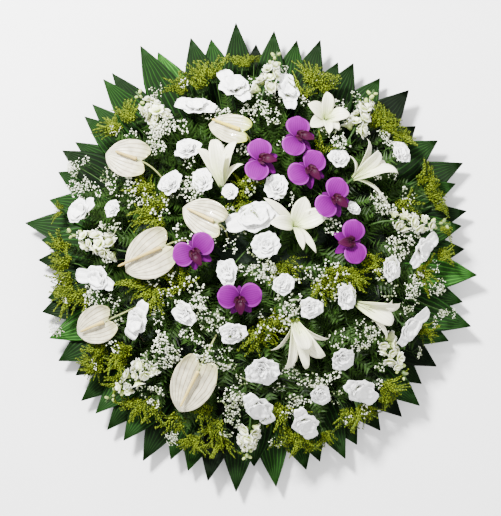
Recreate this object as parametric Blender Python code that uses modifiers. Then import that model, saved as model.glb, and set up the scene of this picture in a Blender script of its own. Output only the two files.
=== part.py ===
"""A round funeral wreath, lying on its back with its flower face up.

The frame is in metres with +Z up: the back of the board lies on z = 0, the middle of the board is
the origin, and +Y points to the top of the wreath as it stands on display. Every stem is pushed
into a domed foam pad on the board, in a plain hole, and radiates from one point below the board,
so neighbours never cross. Places are read by eye from the photograph, which looks straight down.
"""
import math
import random

import bmesh
import bpy
import numpy as np
from mathutils import Matrix, Vector

# Driving dimensions
BOARD_RADIUS = 0.330
BOARD_THICKNESS = 0.020
PAD_RADIUS = 0.300
PAD_WALL_TOP = 0.072
PAD_CROWN = 0.125
SEAT_GAP = 0.0003
FOCUS = Vector((0.0, 0.0, -0.130))
FACE_CROWN = 0.210
FACE_FALL = 1.70
PEG_DEPTH = 0.030
PEG_REACH = 0.009
HOLE_PLAY = 0.0004
HOLE_SIDES = 5
ROOT_LIMIT = 0.385
LEAF_THICKNESS = 0.0012
PETAL_THICKNESS = 0.0012
MERGE = 0.00001
SLIVER = 0.0006

# The photograph's camera, in its pixels, and its height above the surface
EYE_HEIGHT = 3.0
PHOTO_FOCAL = 1327.0
PHOTO_CENTRE = (250.5, 258.0)

# Palm leaf tips, clockwise from the top, in the photograph's pixels
LEAF_TIPS = (
    (236, 24), (256, 44), (274, 32), (297, 40), (320, 41), (338, 62), (353, 64), (380, 78),
    (408, 91), (416, 126), (437, 141), (463, 163), (455, 184), (467, 211), (461, 226),
    (465, 249), (476, 275), (463, 302), (470, 326), (449, 341), (436, 366), (422, 384),
    (419, 405), (402, 417), (380, 430), (357, 445), (345, 458), (320, 462), (306, 469),
    (276, 487), (254, 466), (236, 492), (208, 480), (188, 471), (171, 459), (143, 461),
    (124, 440), (107, 430), (96, 413), (81, 401), (76, 375), (58, 361), (50, 338),
    (42, 312), (48, 298), (38, 260), (42, 240), (25, 223), (50, 200), (58, 172), (63, 151),
    (75, 142), (85, 117), (92, 104), (104, 80), (112, 73), (141, 47), (158, 52), (191, 39),
    (211, 39),
)
LEAF_ROOT_RADIUS = 0.305
LEAF_GRIP = 0.024
LEAF_LAYERS = (("back", 0.0203, 4.5), ("front", 0.0218, 9.0))
LEAF_SECTORS = 3
LEAF_SHOULDER = 0.50
LEAF_FULLNESS = 0.93
LEAF_WIDEST = 0.125
FAN_GAP = 0.010
KEEL_SLOPE = 0.06
COLLAR_HEIGHT = 0.040

# Anthuriums: notch, tip, half width of the heart, end of the spadix, and where the stem goes in
ANTHURIUMS = (
    ((141, 161), (106, 153), 20, (119, 153), (158, 181)),
    ((243, 132), (210, 124), 16, (215, 122), (247, 139)),
    ((217, 223), (184, 208), 19, (190, 210), (221, 231)),
    ((165, 246), (127, 271), 24, (122, 265), (176, 238)),
    ((108, 320), (77, 334), 19, (84, 330), (127, 311)),
    ((200, 367), (180, 411), 22, (182, 403), (216, 338)),
)
SPATHE_LIFT = (0.012, 0.010, 0.014, 0.012, 0.008, 0.008)
SPATHE_THICKNESS = 0.0014
SPATHE_FULLNESS = 1.04
NECK_OFFSET = 0.006
NECK_RADIUS = 0.0036
NECK_TOP = 0.0045
SPADIX_RISE = 0.12
SPADIX_SHARE = 0.92
ANTHURIUM_STEM = 0.0026

# Lilies: base of the trumpet, its lift, its root, and each tepal's tip, width and lift in mm
LILIES = (
    ((222, 188), -12, (224, 195), (
        (197, 151, 13, 14), (214, 141, 15, 4), (238, 143, 11, 20), (244, 166, 8, 2),
        (228, 156, 12, 34))),
    ((325, 120), -22, (325, 122), (
        (308, 104, 15, 10), (327, 92, 12, 16), (350, 115, 14, 12), (329, 134, 9, 6),
        (310, 127, 13, 4), (339, 130, 9, 0))),
    ((353, 179), -10, (350, 185), (
        (367, 139, 9, 6), (378, 151, 14, 14), (398, 174, 16, 22), (350, 156, 8, 2),
        (388, 208, 11, 0), (385, 163, 8, -4))),
    ((294, 226), -20, (294, 228), (
        (264, 198, 8, 14), (305, 197, 17, 2), (328, 213, 17, 4), (270, 223, 14, 22),
        (303, 250, 8, 16), (316, 253, 7, 12))),
    ((356, 303), -12, (351, 306), (
        (392, 300, 11, 26), (400, 303, 10, 4), (392, 324, 15, 14), (385, 340, 6, 2))),
    ((294, 320), -12, (292, 313), (
        (271, 350, 6, 2), (284, 369, 12, 6), (306, 369, 9, 2), (325, 356, 15, 8),
        (329, 338, 7, 2), (304, 350, 18, 34))),
)
TRUMPET_RADIUS = 0.0075
TRUMPET_DEPTH = 0.016
LILY_PEG = 0.0026
LILY_STEM = 0.0020

# Moth orchids: middle of the bloom, where its lip points, and its lift in mm
ORCHID_SPRAY_ROOT = (302, 162)
ORCHID_SPRAY = (
    ((297, 138), (309, 141), 12), ((260, 161), (276, 163), 12), ((307, 170), (317, 181), 8),
    ((332, 199), (342, 206), 20), ((351, 242), (338, 243), 8),
)
ORCHIDS = (
    (((196, 251), (202, 262), 12), (206, 256)),
    (((240, 297), (241, 311), 10), (244, 296)),
)
ORCHID_PEG = 0.0026
ORCHID_STEM = 0.0024

# An orchid's outline from its lip's heading: notches and lobes in degrees, and each lobe's rim as
# (turn in degrees, reach in mm, lift in mm)
ORCHID_THROAT = 10.0
ORCHID_NOTCHES = (-11.0, 11.0, 62.0, 135.0, -135.0, -62.0)
PETAL_OUTLINE = (
    (-29.0, 30.0, 3.0), (-19.0, 44.0, 5.0), (0.0, 48.0, 8.0), (19.0, 44.0, 5.0), (29.0, 30.0, 3.0),
)
SEPAL_OUTLINE = ((-18.0, 25.0, -2.0), (0.0, 37.0, -4.0), (18.0, 25.0, -2.0))
LIP_OUTLINE = ((-17.0, 13.0, 8.0), (-22.0, 22.0, 14.0), (22.0, 22.0, 14.0), (17.0, 13.0, 8.0))
ORCHID_LOBES = (
    (0.0, LIP_OUTLINE), (38.0, SEPAL_OUTLINE), (96.0, PETAL_OUTLINE), (180.0, SEPAL_OUTLINE),
    (-96.0, PETAL_OUTLINE), (-38.0, SEPAL_OUTLINE),
)

# White lisianthus sprays: middle of each bloom, its half width, its outer lobe and folded petal
LISIANTHUS = (
    (((234, 86), 14, (222, 70), (246, 105)), ((288, 91), 13, (286, 73), (289, 113))),
    (((196, 106), 13, (177, 102), (215, 113)), ((187, 149), 14, None, None)),
    (((170, 184), 12, None, None), ((202, 180), 12, None, None), ((230, 192), 8, None, None)),
    (((254, 217), 17, (229, 226), (281, 212)), ((266, 245), 13, None, None),
     ((227, 271), 13, None, None)),
    (((276, 187), 13, None, None), ((353, 208), 8, None, None)),
    (((338, 159), 11, None, None), ((400, 153), 11, None, None)),
    (((80, 211), 12, (97, 204), None), ((113, 209), 10, None, None),
     ((98, 278), 13, (76, 275), (116, 285))),
    (((137, 321), 13, (129, 337), (148, 302)), ((184, 313), 13, None, None)),
    (((232, 333), 13, None, None), ((262, 370), 17, None, None)),
    (((259, 408), 14, (270, 423), (248, 392)), ((305, 424), 13, (313, 439), (297, 404))),
    (((361, 391), 14, (376, 402), (344, 380)), ((320, 394), 12, None, None),
     ((342, 358), 13, None, None)),
    (((310, 308), 12, None, None), ((283, 284), 11, None, None), ((346, 297), 12, None, None)),
    (((390, 269), 12, None, None), ((423, 250), 13, (437, 236), (408, 264)),
     ((410, 328), 13, (427, 311), (399, 343))),
)
LOBE_SPREAD = 0.80
LISIANTHUS_PEG = 0.0024
LISIANTHUS_STEM = 0.0018

# White flower spikes: foot and tip of the flowering part
SPIKES = (
    ((166, 126), (136, 92)), ((262, 104), (277, 62)), ((352, 134), (374, 90)),
    ((118, 250), (66, 232)), ((386, 222), (446, 226)), ((152, 362), (106, 402)),
    ((382, 338), (406, 380)), ((250, 424), (246, 460)),
)
SPIKE_RINGS = 8
SPIKE_DEPTH = 0.018
SPIKE_STEM = 0.0022

# Goldenrod sprays: each clump's middle, the end that its plume points to, and its plumes
GOLDENROD = (
    (((200, 84), (186, 66), 6), ((243, 62), (236, 44), 4), ((115, 130), (98, 122), 5),
     ((160, 206), (158, 190), 4), ((160, 225), (150, 238), 3), ((310, 80), (322, 62), 5)),
    (((66, 262), (60, 246), 4), ((72, 295), (60, 300), 5), ((158, 292), (164, 312), 4),
     ((98, 364), (86, 362), 5), ((122, 362), (116, 384), 3), ((140, 404), (136, 420), 3),
     ((182, 284), (186, 276), 2)),
    (((385, 128), (402, 118), 5), ((430, 192), (444, 186), 5), ((332, 272), (334, 292), 4),
     ((348, 275), (356, 286), 3), ((418, 275), (430, 280), 2), ((400, 205), (412, 208), 2)),
    (((264, 322), (262, 342), 4), ((196, 440), (190, 456), 4), ((216, 424), (224, 446), 3),
     ((284, 430), (278, 440), 2), ((298, 436), (294, 444), 2), ((385, 400), (392, 410), 3),
     ((362, 408), (356, 422), 3), ((326, 436), (318, 446), 2)),
)
GOLDENROD_DEPTH = 0.026
GOLDENROD_CORE = 0.0090
PLUME_LENGTHS = (0.036, 0.050)
PLUME_RADIUS = 0.006

# Gypsophila sprays: the middle of each cloud and how many florets it carries
GYPSOPHILA = (
    (((80, 168), 9), ((122, 182), 6), ((92, 192), 5), ((200, 196), 6), ((160, 152), 6),
     ((215, 125), 3), ((60, 328), 6), ((104, 296), 5)),
    (((264, 270), 8), ((170, 345), 10), ((208, 350), 6), ((232, 388), 6), ((236, 408), 5),
     ((205, 300), 4), ((176, 430), 4), ((285, 300), 5)),
    (((330, 142), 5), ((372, 206), 6), ((386, 244), 6), ((402, 290), 7), ((432, 290), 6),
     ((352, 330), 6), ((320, 372), 5), ((270, 118), 4), ((440, 310), 4)),
)
GYPSOPHILA_DEPTH = 0.032
GYPSOPHILA_CORE = 0.0070
TWIG_LENGTHS = (0.024, 0.042)
TWIG_RADIUS = 0.002
FLORET_RADIUS = 0.007
FLORET_DEPTH = 0.004
FILLER_PEG = 0.0022
FILLER_STEM = 0.0015

# A filler cluster moves by up to this much, in pixels, where its own place is taken
CLUSTER_SHIFTS = (
    (0, 0), (4, 0), (-4, 0), (0, 4), (0, -4), (6, 6), (-6, -6), (6, -6), (-6, 6),
)

# Fern bunches: the root, and the headings in degrees and lengths of their fronds
FERNS = (
    ((214, 160), ((20, 0.13), (80, 0.17), (130, 0.19), (175, 0.20), (215, 0.13), (-60, 0.10))),
    ((196, 376), ((-20, 0.14), (-80, 0.17), (-120, 0.18), (-165, 0.19), (165, 0.17), (70, 0.1))),
    ((366, 318), ((-140, 0.14), (-70, 0.18), (-30, 0.17), (15, 0.16), (60, 0.19), (105, 0.19))),
)
FROND_STEP = 0.038
FROND_RIB = 0.0022
FROND_STRETCH = 1.15
FROND_LIMIT = 0.435
FROND_SHARE = 0.32
FROND_SHARE_STEP = 0.05
FERN_PEG = 0.0030
LEAFLET_REACH = 0.046

# How far a flower may be raised along its stem to clear its neighbours, in the order of trial
SEAT_LIFTS = (0.0, 0.006, 0.012, -0.006, 0.018, 0.025, 0.032)

# How a spray's root may move where its place is taken: the radii of the rings that are tried
ROOT_RINGS = (0.012, 0.022, 0.034)
ROUTE_TRIES = 400
BRANCH_STEP = 0.0003

# Colours, roughness of each material
FINISHES = {
    "board_wood": ((0.32, 0.22, 0.13), 0.80),
    "wet_foam": ((0.05, 0.12, 0.05), 0.95),
    "palm_leaf": ((0.05, 0.14, 0.05), 0.45),
    "cream_spathe": ((0.86, 0.82, 0.74), 0.35),
    "spadix": ((0.84, 0.74, 0.44), 0.60),
    "lily_tepal": ((0.86, 0.87, 0.72), 0.50),
    "orchid_petal": ((0.52, 0.08, 0.56), 0.50),
    "white_petal": ((0.92, 0.92, 0.90), 0.55),
    "spike_floret": ((0.84, 0.87, 0.72), 0.55),
    "goldenrod": ((0.42, 0.42, 0.05), 0.80),
    "gypsophila": ((0.85, 0.87, 0.80), 0.70),
    "fern_green": ((0.03, 0.09, 0.03), 0.60),
}

# The grid of the room that the nodes share, and the numbers it gives to the pad and to shared cells
CELL = 0.002
SAMPLE_STEP = 0.0014
ROOM_LOW = np.array((-0.56, -0.56, -0.01))
ROOM_CELLS = (560, 560, 150)
SHARED = 255
PAD_NUMBER = 2


def face_height(radius):
    """Height of the dome that the flower heads lie on."""
    return FACE_CROWN - radius * radius / FACE_FALL


def on_face(place, lift=0.0):
    """The point of the flower face seen at a place of the photograph, raised by lift."""
    height = FACE_CROWN
    x = y = 0.0
    for _ in range(6):
        depth = EYE_HEIGHT - height
        x = (place[0] - PHOTO_CENTRE[0]) * depth / PHOTO_FOCAL
        y = (PHOTO_CENTRE[1] - place[1]) * depth / PHOTO_FOCAL
        height = face_height(math.hypot(x, y)) + lift
    return Vector((x, y, height))


def outward(point):
    """The direction in which stems grow at a point."""
    return (point - FOCUS).normalized()


def pad_top(radius):
    """Height of the pad's domed top."""
    return PAD_WALL_TOP + (PAD_CROWN - PAD_WALL_TOP) * (1.0 - (radius / PAD_RADIUS) ** 2)


def pad_exit(direction):
    """Where a ray from the focus leaves the pad."""
    reach = 0.10
    while True:
        point = FOCUS + direction * reach
        radius = math.hypot(point.x, point.y)
        if radius > PAD_RADIUS or point.z > pad_top(radius):
            return point
        reach += 0.0005


class Room:
    """A grid of small cells that says which node holds each, with a cell of clearance round it."""

    def __init__(self):
        self.owner = np.zeros(ROOM_CELLS, np.uint8)
        steps = np.array([(i, j, k) for i in (-1, 0, 1) for j in (-1, 0, 1) for k in (-1, 0, 1)])
        self.around = steps

    def cells(self, points):
        """The cell that each point lies in."""
        index = ((points - ROOM_LOW) / CELL).astype(np.int32)
        return np.clip(index, 1, np.array(ROOM_CELLS) - 2)

    def clashes(self, points, node, passes=()):
        """How many of the points lie in or next to another node."""
        index = self.cells(points)
        owner = self.owner[index[:, 0], index[:, 1], index[:, 2]]
        mine = (owner == 0) | (owner == node)
        for other in passes:
            mine |= owner == other
        return int((~mine).sum())

    def take(self, points, node):
        """Gives a node the cells round its points."""
        index = np.unique(self.cells(points), axis=0)
        near = (index[:, None, :] + self.around[None, :, :]).reshape(-1, 3)
        owner = self.owner[near[:, 0], near[:, 1], near[:, 2]]
        value = np.where((owner == 0) | (owner == node), node, SHARED)
        self.owner[near[:, 0], near[:, 1], near[:, 2]] = value


def surface_points(mesh):
    """Points all over a mesh's surface, closer together than a cell of the room."""
    mesh.calc_loop_triangles()
    corners = np.empty(len(mesh.vertices) * 3)
    mesh.vertices.foreach_get("co", corners)
    index = np.empty(len(mesh.loop_triangles) * 3, np.int32)
    mesh.loop_triangles.foreach_get("vertices", index)
    triangles = corners.reshape(-1, 3)[index.reshape(-1, 3)]
    edges = triangles - np.roll(triangles, 1, axis=1)
    counts = np.ceil(np.linalg.norm(edges, axis=2).max(axis=1) / SAMPLE_STEP).astype(int)
    found = []
    for count in np.unique(counts):
        count = max(int(count), 1)
        steps = [(i, j, count - i - j) for i in range(count + 1) for j in range(count + 1 - i)]
        weights = np.array(steps, float) / count
        found.append(np.einsum("wc,tcx->twx", weights, triangles[counts == count]).reshape(-1, 3))
    return np.concatenate(found)


def tube_points(path, radius):
    """Points along the skin of a tube, to test a route before the tube is made."""
    found = []
    for start, end in zip(path, path[1:]):
        along = end - start
        side = along.orthogonal().normalized()
        other = along.cross(side).normalized()
        steps = max(2, int(along.length / SAMPLE_STEP))
        for step in range(steps + 1):
            middle = start.lerp(end, step / steps)
            for turn in range(6):
                angle = math.tau * turn / 6
                found.append(middle + (side * math.cos(angle) + other * math.sin(angle)) * radius)
    return np.array(found)


class Node:
    """One named body of the wreath, gathered as overlapping pieces that are joined at the end."""

    def __init__(self, garden, name, finish):
        self.garden = garden
        self.name = name
        self.finish = finish
        self.pieces = []
        self.number = len(garden.nodes) + 1
        garden.nodes.append(self)

    def clashes(self, meshes):
        """How many points of the meshes lie in or next to another node."""
        points = np.concatenate([surface_points(mesh) for mesh in meshes])
        return self.garden.room.clashes(points, self.number)

    def add(self, meshes):
        """Adds meshes to the node and takes their room."""
        for mesh in meshes:
            self.garden.room.take(surface_points(mesh), self.number)
        self.pieces.extend(meshes)


class Garden:
    """The nodes made so far, the room that they share and the holes that the pad needs."""

    def __init__(self):
        self.room = Room()
        self.nodes = []
        self.holes = []


def clear_scene():
    """Removes every object of the scene."""
    for obj in list(bpy.data.objects):
        bpy.data.objects.remove(obj, do_unlink=True)


def new_collection(name):
    """A collection in the scene."""
    collection = bpy.data.collections.new(name)
    bpy.context.scene.collection.children.link(collection)
    return collection


def new_material(name):
    """The material of a finish, made once."""
    colour, roughness = FINISHES[name]
    material = bpy.data.materials.get(name)
    if material:
        return material
    material = bpy.data.materials.new(name)
    material.use_nodes = True
    shader = material.node_tree.nodes["Principled BSDF"]
    shader.inputs["Base Color"].default_value = (*colour, 1.0)
    shader.inputs["Roughness"].default_value = roughness
    shader.inputs["Metallic"].default_value = 0.0
    material.diffuse_color = (*colour, 1.0)
    return material


def finished_mesh(obj):
    """The object's mesh with its modifiers applied, in world space; the object is removed."""
    view = bpy.context.evaluated_depsgraph_get()
    view.update()
    mesh = bpy.data.meshes.new_from_object(obj.evaluated_get(view))
    mesh.transform(obj.matrix_world)
    bpy.data.objects.remove(obj, do_unlink=True)
    return mesh


def object_of(mesh, name="piece"):
    """An object in the scene that holds a mesh or a curve."""
    obj = bpy.data.objects.new(name, mesh)
    bpy.context.scene.collection.objects.link(obj)
    return obj


def thickened(bm, thickness):
    """A closed blade from an open surface, which is split into the same triangles on both faces."""
    bmesh.ops.remove_doubles(bm, verts=bm.verts, dist=MERGE)
    bmesh.ops.triangulate(bm, faces=bm.faces)
    bmesh.ops.recalc_face_normals(bm, faces=bm.faces)
    mesh = bpy.data.meshes.new("blade")
    bm.to_mesh(mesh)
    bm.free()
    obj = object_of(mesh)
    solidify = obj.modifiers.new("thickness", "SOLIDIFY")
    solidify.thickness = thickness
    solidify.offset = 0.0
    return finished_mesh(obj)


def blade(along, across, shape, thickness=PETAL_THICKNESS):
    """A thin blade: a grid bent by shape(u, v), with u from 0 to 1 and v from -1 to 1."""
    bm = bmesh.new()
    bmesh.ops.create_grid(bm, x_segments=along, y_segments=across, size=1.0)
    for vertex in bm.verts:
        vertex.co = Vector(shape((vertex.co.x + 1.0) / 2.0, vertex.co.y))
    return thickened(bm, thickness)


def lump(sides, rings, shape):
    """A closed form: a UV sphere whose points are moved by shape(turn, ring), poles included."""
    bm = bmesh.new()
    bmesh.ops.create_uvsphere(bm, u_segments=sides, v_segments=rings, radius=1.0)
    for vertex in bm.verts:
        turn = math.atan2(vertex.co.y, vertex.co.x)
        ring = round((1.0 - math.acos(max(-1.0, min(1.0, vertex.co.z))) / math.pi) * rings)
        vertex.co = Vector(shape(turn, ring))
    mesh = bpy.data.meshes.new("lump")
    bmesh.ops.triangulate(bm, faces=bm.faces)
    bm.to_mesh(mesh)
    bm.free()
    return mesh


def cone_between(start, end, start_radius, end_radius, sides):
    """A cone or rod between two points."""
    along = end - start
    bm = bmesh.new()
    bmesh.ops.create_cone(bm, cap_ends=True, segments=sides, radius1=start_radius,
                          radius2=end_radius, depth=along.length)
    turn = along.to_track_quat("Z", "Y").to_matrix().to_4x4()
    bm.transform(Matrix.Translation((start + end) / 2.0) @ turn)
    mesh = bpy.data.meshes.new("rod")
    bm.to_mesh(mesh)
    bm.free()
    return mesh


def stem_mesh(path, radius, roundness=0):
    """A stem: a curve with a bevel and filled caps, made a closed mesh."""
    curve = bpy.data.curves.new("stem", "CURVE")
    curve.dimensions = "3D"
    curve.bevel_depth = radius
    curve.bevel_resolution = roundness
    curve.use_fill_caps = True
    spline = curve.splines.new("POLY")
    spline.points.add(len(path) - 1)
    for point, place in zip(spline.points, path):
        point.co = (*place, 1.0)
    mesh = finished_mesh(object_of(curve))
    bm = bmesh.new()
    bm.from_mesh(mesh)
    bmesh.ops.remove_doubles(bm, verts=bm.verts, dist=MERGE)
    bmesh.ops.recalc_face_normals(bm, faces=bm.faces)
    bm.to_mesh(mesh)
    bm.free()
    return mesh


def placed(mesh, origin, up, ahead):
    """A copy of a mesh with its Z along up and its X towards ahead."""
    up = up.normalized()
    ahead = (ahead - up * ahead.dot(up)).normalized()
    side = up.cross(ahead)
    copy = mesh.copy()
    turn = Matrix((ahead, side, up)).transposed().to_4x4()
    copy.transform(Matrix.Translation(origin) @ turn)
    return copy


def root_of(garden, node, place, radius):
    """Pushes a straight peg into the pad for a spray's stems, and gives its end in clear air."""
    wish = on_face(place)
    shifts = [(0.0, 0.0)]
    for ring in ROOT_RINGS:
        for turn in range(8):
            angle = math.tau * turn / 8
            shifts.append((ring * math.cos(angle), ring * math.sin(angle)))
    for x, y in shifts:
        target = Vector((wish.x + x, wish.y + y, 0.0))
        if target.length > ROOT_LIMIT:
            target *= ROOT_LIMIT / target.length
        target.z = face_height(target.length)
        direction = outward(target)
        surface = pad_exit(direction)
        path = [surface - direction * PEG_DEPTH, surface + direction * PEG_REACH]
        if garden.room.clashes(tube_points(path, radius + 0.001), node.number, (PAD_NUMBER,)) == 0:
            garden.holes.append((path[0] - direction * 0.001, path[1], radius + HOLE_PLAY))
            node.add([stem_mesh([path[0], path[1] + direction * 0.003], radius, 1)])
            return path[1]
    raise RuntimeError("no room for the root of " + node.name)


def stem_route(garden, node, foot, goal, radius):
    """A bent route from a peg's end to a flower that meets no other node, or None."""
    def is_clear(*path):
        return garden.room.clashes(tube_points(path, radius), node.number) == 0

    foot = foot - outward(foot) * BRANCH_STEP * (len(node.pieces) % 7)
    if is_clear(foot, goal):
        return [foot, goal]
    under = pad_exit(outward(goal))
    rise = (goal - under).length
    up = outward(goal)
    sideways = (goal - foot).cross(up).normalized()
    ahead = up.cross(sideways)
    for share in (0.35, 0.5, 0.22, 0.68):
        level = under + up * max(0.012, rise * share)
        for side in (0.0, 0.012, -0.012, 0.024, -0.024, 0.040, -0.040):
            for forth in (0.0, -0.018, 0.018, -0.036):
                knee = level + sideways * side + ahead * forth
                if is_clear(foot, knee, goal):
                    return [foot, knee, goal]
    rand = random.Random(len(node.pieces))
    for _ in range(ROUTE_TRIES):
        low = bed_point(foot.lerp(goal, rand.uniform(0.2, 0.6)) + sideways * rand.gauss(0, 0.03),
                        rand.uniform(0.15, 0.6))
        high = bed_point(goal + ahead * rand.gauss(0, 0.015) + sideways * rand.gauss(0, 0.02),
                         rand.uniform(0.2, 0.7))
        if is_clear(low, high, goal) and is_clear(foot, low):
            return [foot, low, high, goal]
    return None


def seat(node, mesh, up):
    """Raises a flower along its stem until it is clear of the others, and gives the rise."""
    for lift in SEAT_LIFTS:
        mesh.transform(Matrix.Translation(up * lift))
        if node.clashes([mesh]) == 0:
            return lift
        mesh.transform(Matrix.Translation(up * -lift))
    raise RuntimeError("no room for a flower of " + node.name)


def grow_stem(garden, node, root, goal, radius):
    """Adds the stem of one flower; the flower's own node must already hold its root."""
    route = stem_route(garden, node, root, goal, radius)
    if route is None:
        raise RuntimeError("no clear route for a stem of " + node.name)
    node.add([stem_mesh(route, radius)])


def make_board(garden):
    """The round board that carries the pad and the leaves."""
    node = Node(garden, "backing_board", "board_wood")
    node.pieces.append(cone_between(Vector((0, 0, 0)), Vector((0, 0, BOARD_THICKNESS)),
                                    BOARD_RADIUS, BOARD_RADIUS, 48))
    garden.room.take(surface_points(node.pieces[0]), node.number)


def make_pad(garden):
    """The foam pad: a turned profile from the rim to the crown, closed by its flat underside."""
    node = Node(garden, "foam_pad", "wet_foam")
    bottom = BOARD_THICKNESS + SEAT_GAP
    heights = [(0.0, pad_top(0.0))]
    heights += [(PAD_RADIUS * share, pad_top(PAD_RADIUS * share)) for share in (0.35, 0.7)]
    heights += [(PAD_RADIUS - 0.012, pad_top(PAD_RADIUS - 0.012)), (PAD_RADIUS, PAD_WALL_TOP - 0.008)]
    heights += [(PAD_RADIUS, bottom), (0.0, bottom)]
    mesh = bpy.data.meshes.new("profile")
    points = [(x, 0.0, z) for x, z in heights]
    mesh.from_pydata(points, [(i, i + 1) for i in range(len(points) - 1)], [])
    obj = object_of(mesh)
    screw = obj.modifiers.new("turn", "SCREW")
    screw.steps = 40
    screw.render_steps = 40
    screw.use_merge_vertices = True
    screw.merge_threshold = MERGE
    node.pieces.append(finished_mesh(obj))
    garden.room.take(surface_points(node.pieces[0]), node.number)
    return node


def leaf_direction(tip):
    """Angle and distance of a leaf's tip, seen from above at the collar's height."""
    scale = (EYE_HEIGHT - COLLAR_HEIGHT) / PHOTO_FOCAL
    x = (tip[0] - PHOTO_CENTRE[0]) * scale
    y = (PHOTO_CENTRE[1] - tip[1]) * scale
    return math.atan2(y, x), math.hypot(x, y)


def polar(angle, radius, height):
    """A point from its heading, its distance from the middle and its height."""
    return Vector((radius * math.cos(angle), radius * math.sin(angle), height))


def make_collar(garden):
    """Two layers of pointed, keeled palm leaves, in fans whose leaves share the root strip."""
    tips = sorted(leaf_direction(tip) for tip in LEAF_TIPS)
    for layer, (label, base, slope) in enumerate(LEAF_LAYERS):
        chosen = tips[layer::2]
        share = len(chosen) // LEAF_SECTORS
        for sector in range(LEAF_SECTORS):
            first = sector * share
            last = first + share if sector < LEAF_SECTORS - 1 else len(chosen)
            node = Node(garden, f"palm_leaves_{label}_{sector + 1}", "palm_leaf")
            node.add([leaf_fan(chosen, first, last, base, math.tan(math.radians(slope)))])


def leaf_fan(tips, first, last, base, rise):
    """One fan: a strip that lies on the board's rim, and a keeled leaf from each stretch of it."""
    bm = bmesh.new()
    count = len(tips)
    inner, outer = LEAF_ROOT_RADIUS, LEAF_ROOT_RADIUS + LEAF_GRIP
    bounds = []
    for index in range(first, last + 1):
        before = tips[(index - 1) % count][0]
        after = tips[index % count][0]
        if index == 0:
            before -= math.tau
        if index == count:
            after += math.tau
        bounds.append((before + after) / 2.0)
    bounds[0] += FAN_GAP
    bounds[-1] -= FAN_GAP

    def point(angle, radius, lift=0.0):
        height = base + LEAF_THICKNESS / 2 + max(0.0, radius - outer) * rise + lift
        return bm.verts.new(polar(angle, radius, height))

    inner_row = []
    outer_row = []
    for index in range(first, last):
        low, high = bounds[index - first], bounds[index - first + 1]
        middle = (low + high) / 2.0
        if not inner_row:
            inner_row.append(point(low, inner))
            outer_row.append(point(low, outer))
        inner_row.append(point(high, inner))
        outer_row += [point(middle, outer), point(high, outer)]
    for k in range(last - first):
        bm.faces.new([inner_row[k]] + outer_row[2 * k:2 * k + 3] + [inner_row[k + 1]])
    for index in range(first, last):
        angle, reach = tips[index]
        low, high = bounds[index - first], bounds[index - first + 1]
        left, keel, right = outer_row[2 * (index - first):2 * (index - first) + 3]
        middle = (low + high) / 2.0
        half = min((high - low) / 2.0, LEAF_WIDEST) * LEAF_FULLNESS
        shoulder = outer + (reach - outer) * LEAF_SHOULDER
        heading = middle + (angle - middle) * 0.5
        a = point(heading - half, shoulder)
        b = point(heading, shoulder, KEEL_SLOPE * (shoulder - outer))
        c = point(heading + half, shoulder)
        tip = point(angle, reach)
        bm.faces.new((left, a, b, keel))
        bm.faces.new((keel, b, c, right))
        bm.faces.new((a, tip, b))
        bm.faces.new((b, tip, c))
    return thickened(bm, LEAF_THICKNESS)


def heart_point(turn, half, length, notch):
    """A heart's edge: turn 0 is the notch, half a turn is the tip."""
    x = -(13 * math.cos(turn) - 5 * math.cos(2 * turn) - 2 * math.cos(3 * turn) - math.cos(4 * turn))
    return (x / 16.0 - notch) * length, math.sin(turn) ** 3 * half


def spathe_mesh(length, half):
    """A heart-shaped spathe whose notch is at the origin and whose tip lies along +X."""
    unit = length / 1.375
    centre = 0.30 * length

    def shape(u, v):
        x, y = heart_point(math.pi * (v + 1.0), half, unit, -0.3125)
        reach = 0.58 if 0.25 < u < 0.75 else u
        wave = 0.004 * math.sin(3.0 * math.pi * v) if u > 0.75 else 0.0
        rise = 0.006 * min(1.0, max(0.0, x) / centre)
        bowl = rise * reach ** 2 - 0.012 * max(0.0, x / length - 0.6) * reach
        return centre + (x - centre) * reach, y * reach, bowl + wave

    return blade(2, 12, shape, SPATHE_THICKNESS)


def spadix_mesh(length):
    """A tapered spadix along +X, whose straight underside starts at the origin and rises gently."""
    def shape(turn, ring):
        along = (0.0, 0.08, 0.40, 0.70, 0.94, 1.0)[ring] * length
        thick = (0.0, 0.0044, 0.0052, 0.0042, 0.0032, 0.0)[ring]
        return along, thick * math.cos(turn), thick * (math.sin(turn) + 1.0) + SPADIX_RISE * along

    return lump(5, 5, shape)


def make_anthuriums(garden):
    """Six anthuriums: a heart on its stem, and the spadix on the heart's neck."""
    for index, (notch, tip, half, spadix_end, root) in enumerate(ANTHURIUMS):
        lift = SPATHE_LIFT[index]
        node = Node(garden, f"anthurium_{index + 1}", "cream_spathe")
        rod = Node(garden, f"anthurium_spadix_{index + 1}", "spadix")
        origin = on_face(notch, lift)
        ahead = on_face(tip, lift) - origin
        up = (outward(origin) + Vector((0, 0, 1.0))).normalized()
        pixel = (EYE_HEIGHT - origin.z) / PHOTO_FOCAL
        heart = placed(spathe_mesh(ahead.length * SPATHE_FULLNESS, half * pixel), origin, up, ahead)
        rise = seat(node, heart, up)
        origin = origin + up * rise
        neck = origin + ahead.normalized() * NECK_OFFSET
        node.add([heart, stem_mesh([neck - up * 0.008, neck + up * NECK_TOP], NECK_RADIUS)])
        peg = root_of(garden, node, root, ANTHURIUM_STEM)
        grow_stem(garden, node, peg, neck - up * 0.006, ANTHURIUM_STEM)
        lean = on_face(spadix_end, lift) - on_face(notch, lift)
        flesh = spadix_mesh(lean.length * SPADIX_SHARE)
        rod.add([placed(flesh, neck + up * (NECK_TOP + SEAT_GAP), up, lean)])


def bezier(a, b, c, d, u):
    """A point of a smooth line from a to d, which leaves towards b and arrives from c."""
    w = 1.0 - u
    return a * w ** 3 + b * (3 * w * w * u) + c * (3 * w * u * u) + d * u ** 3


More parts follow.
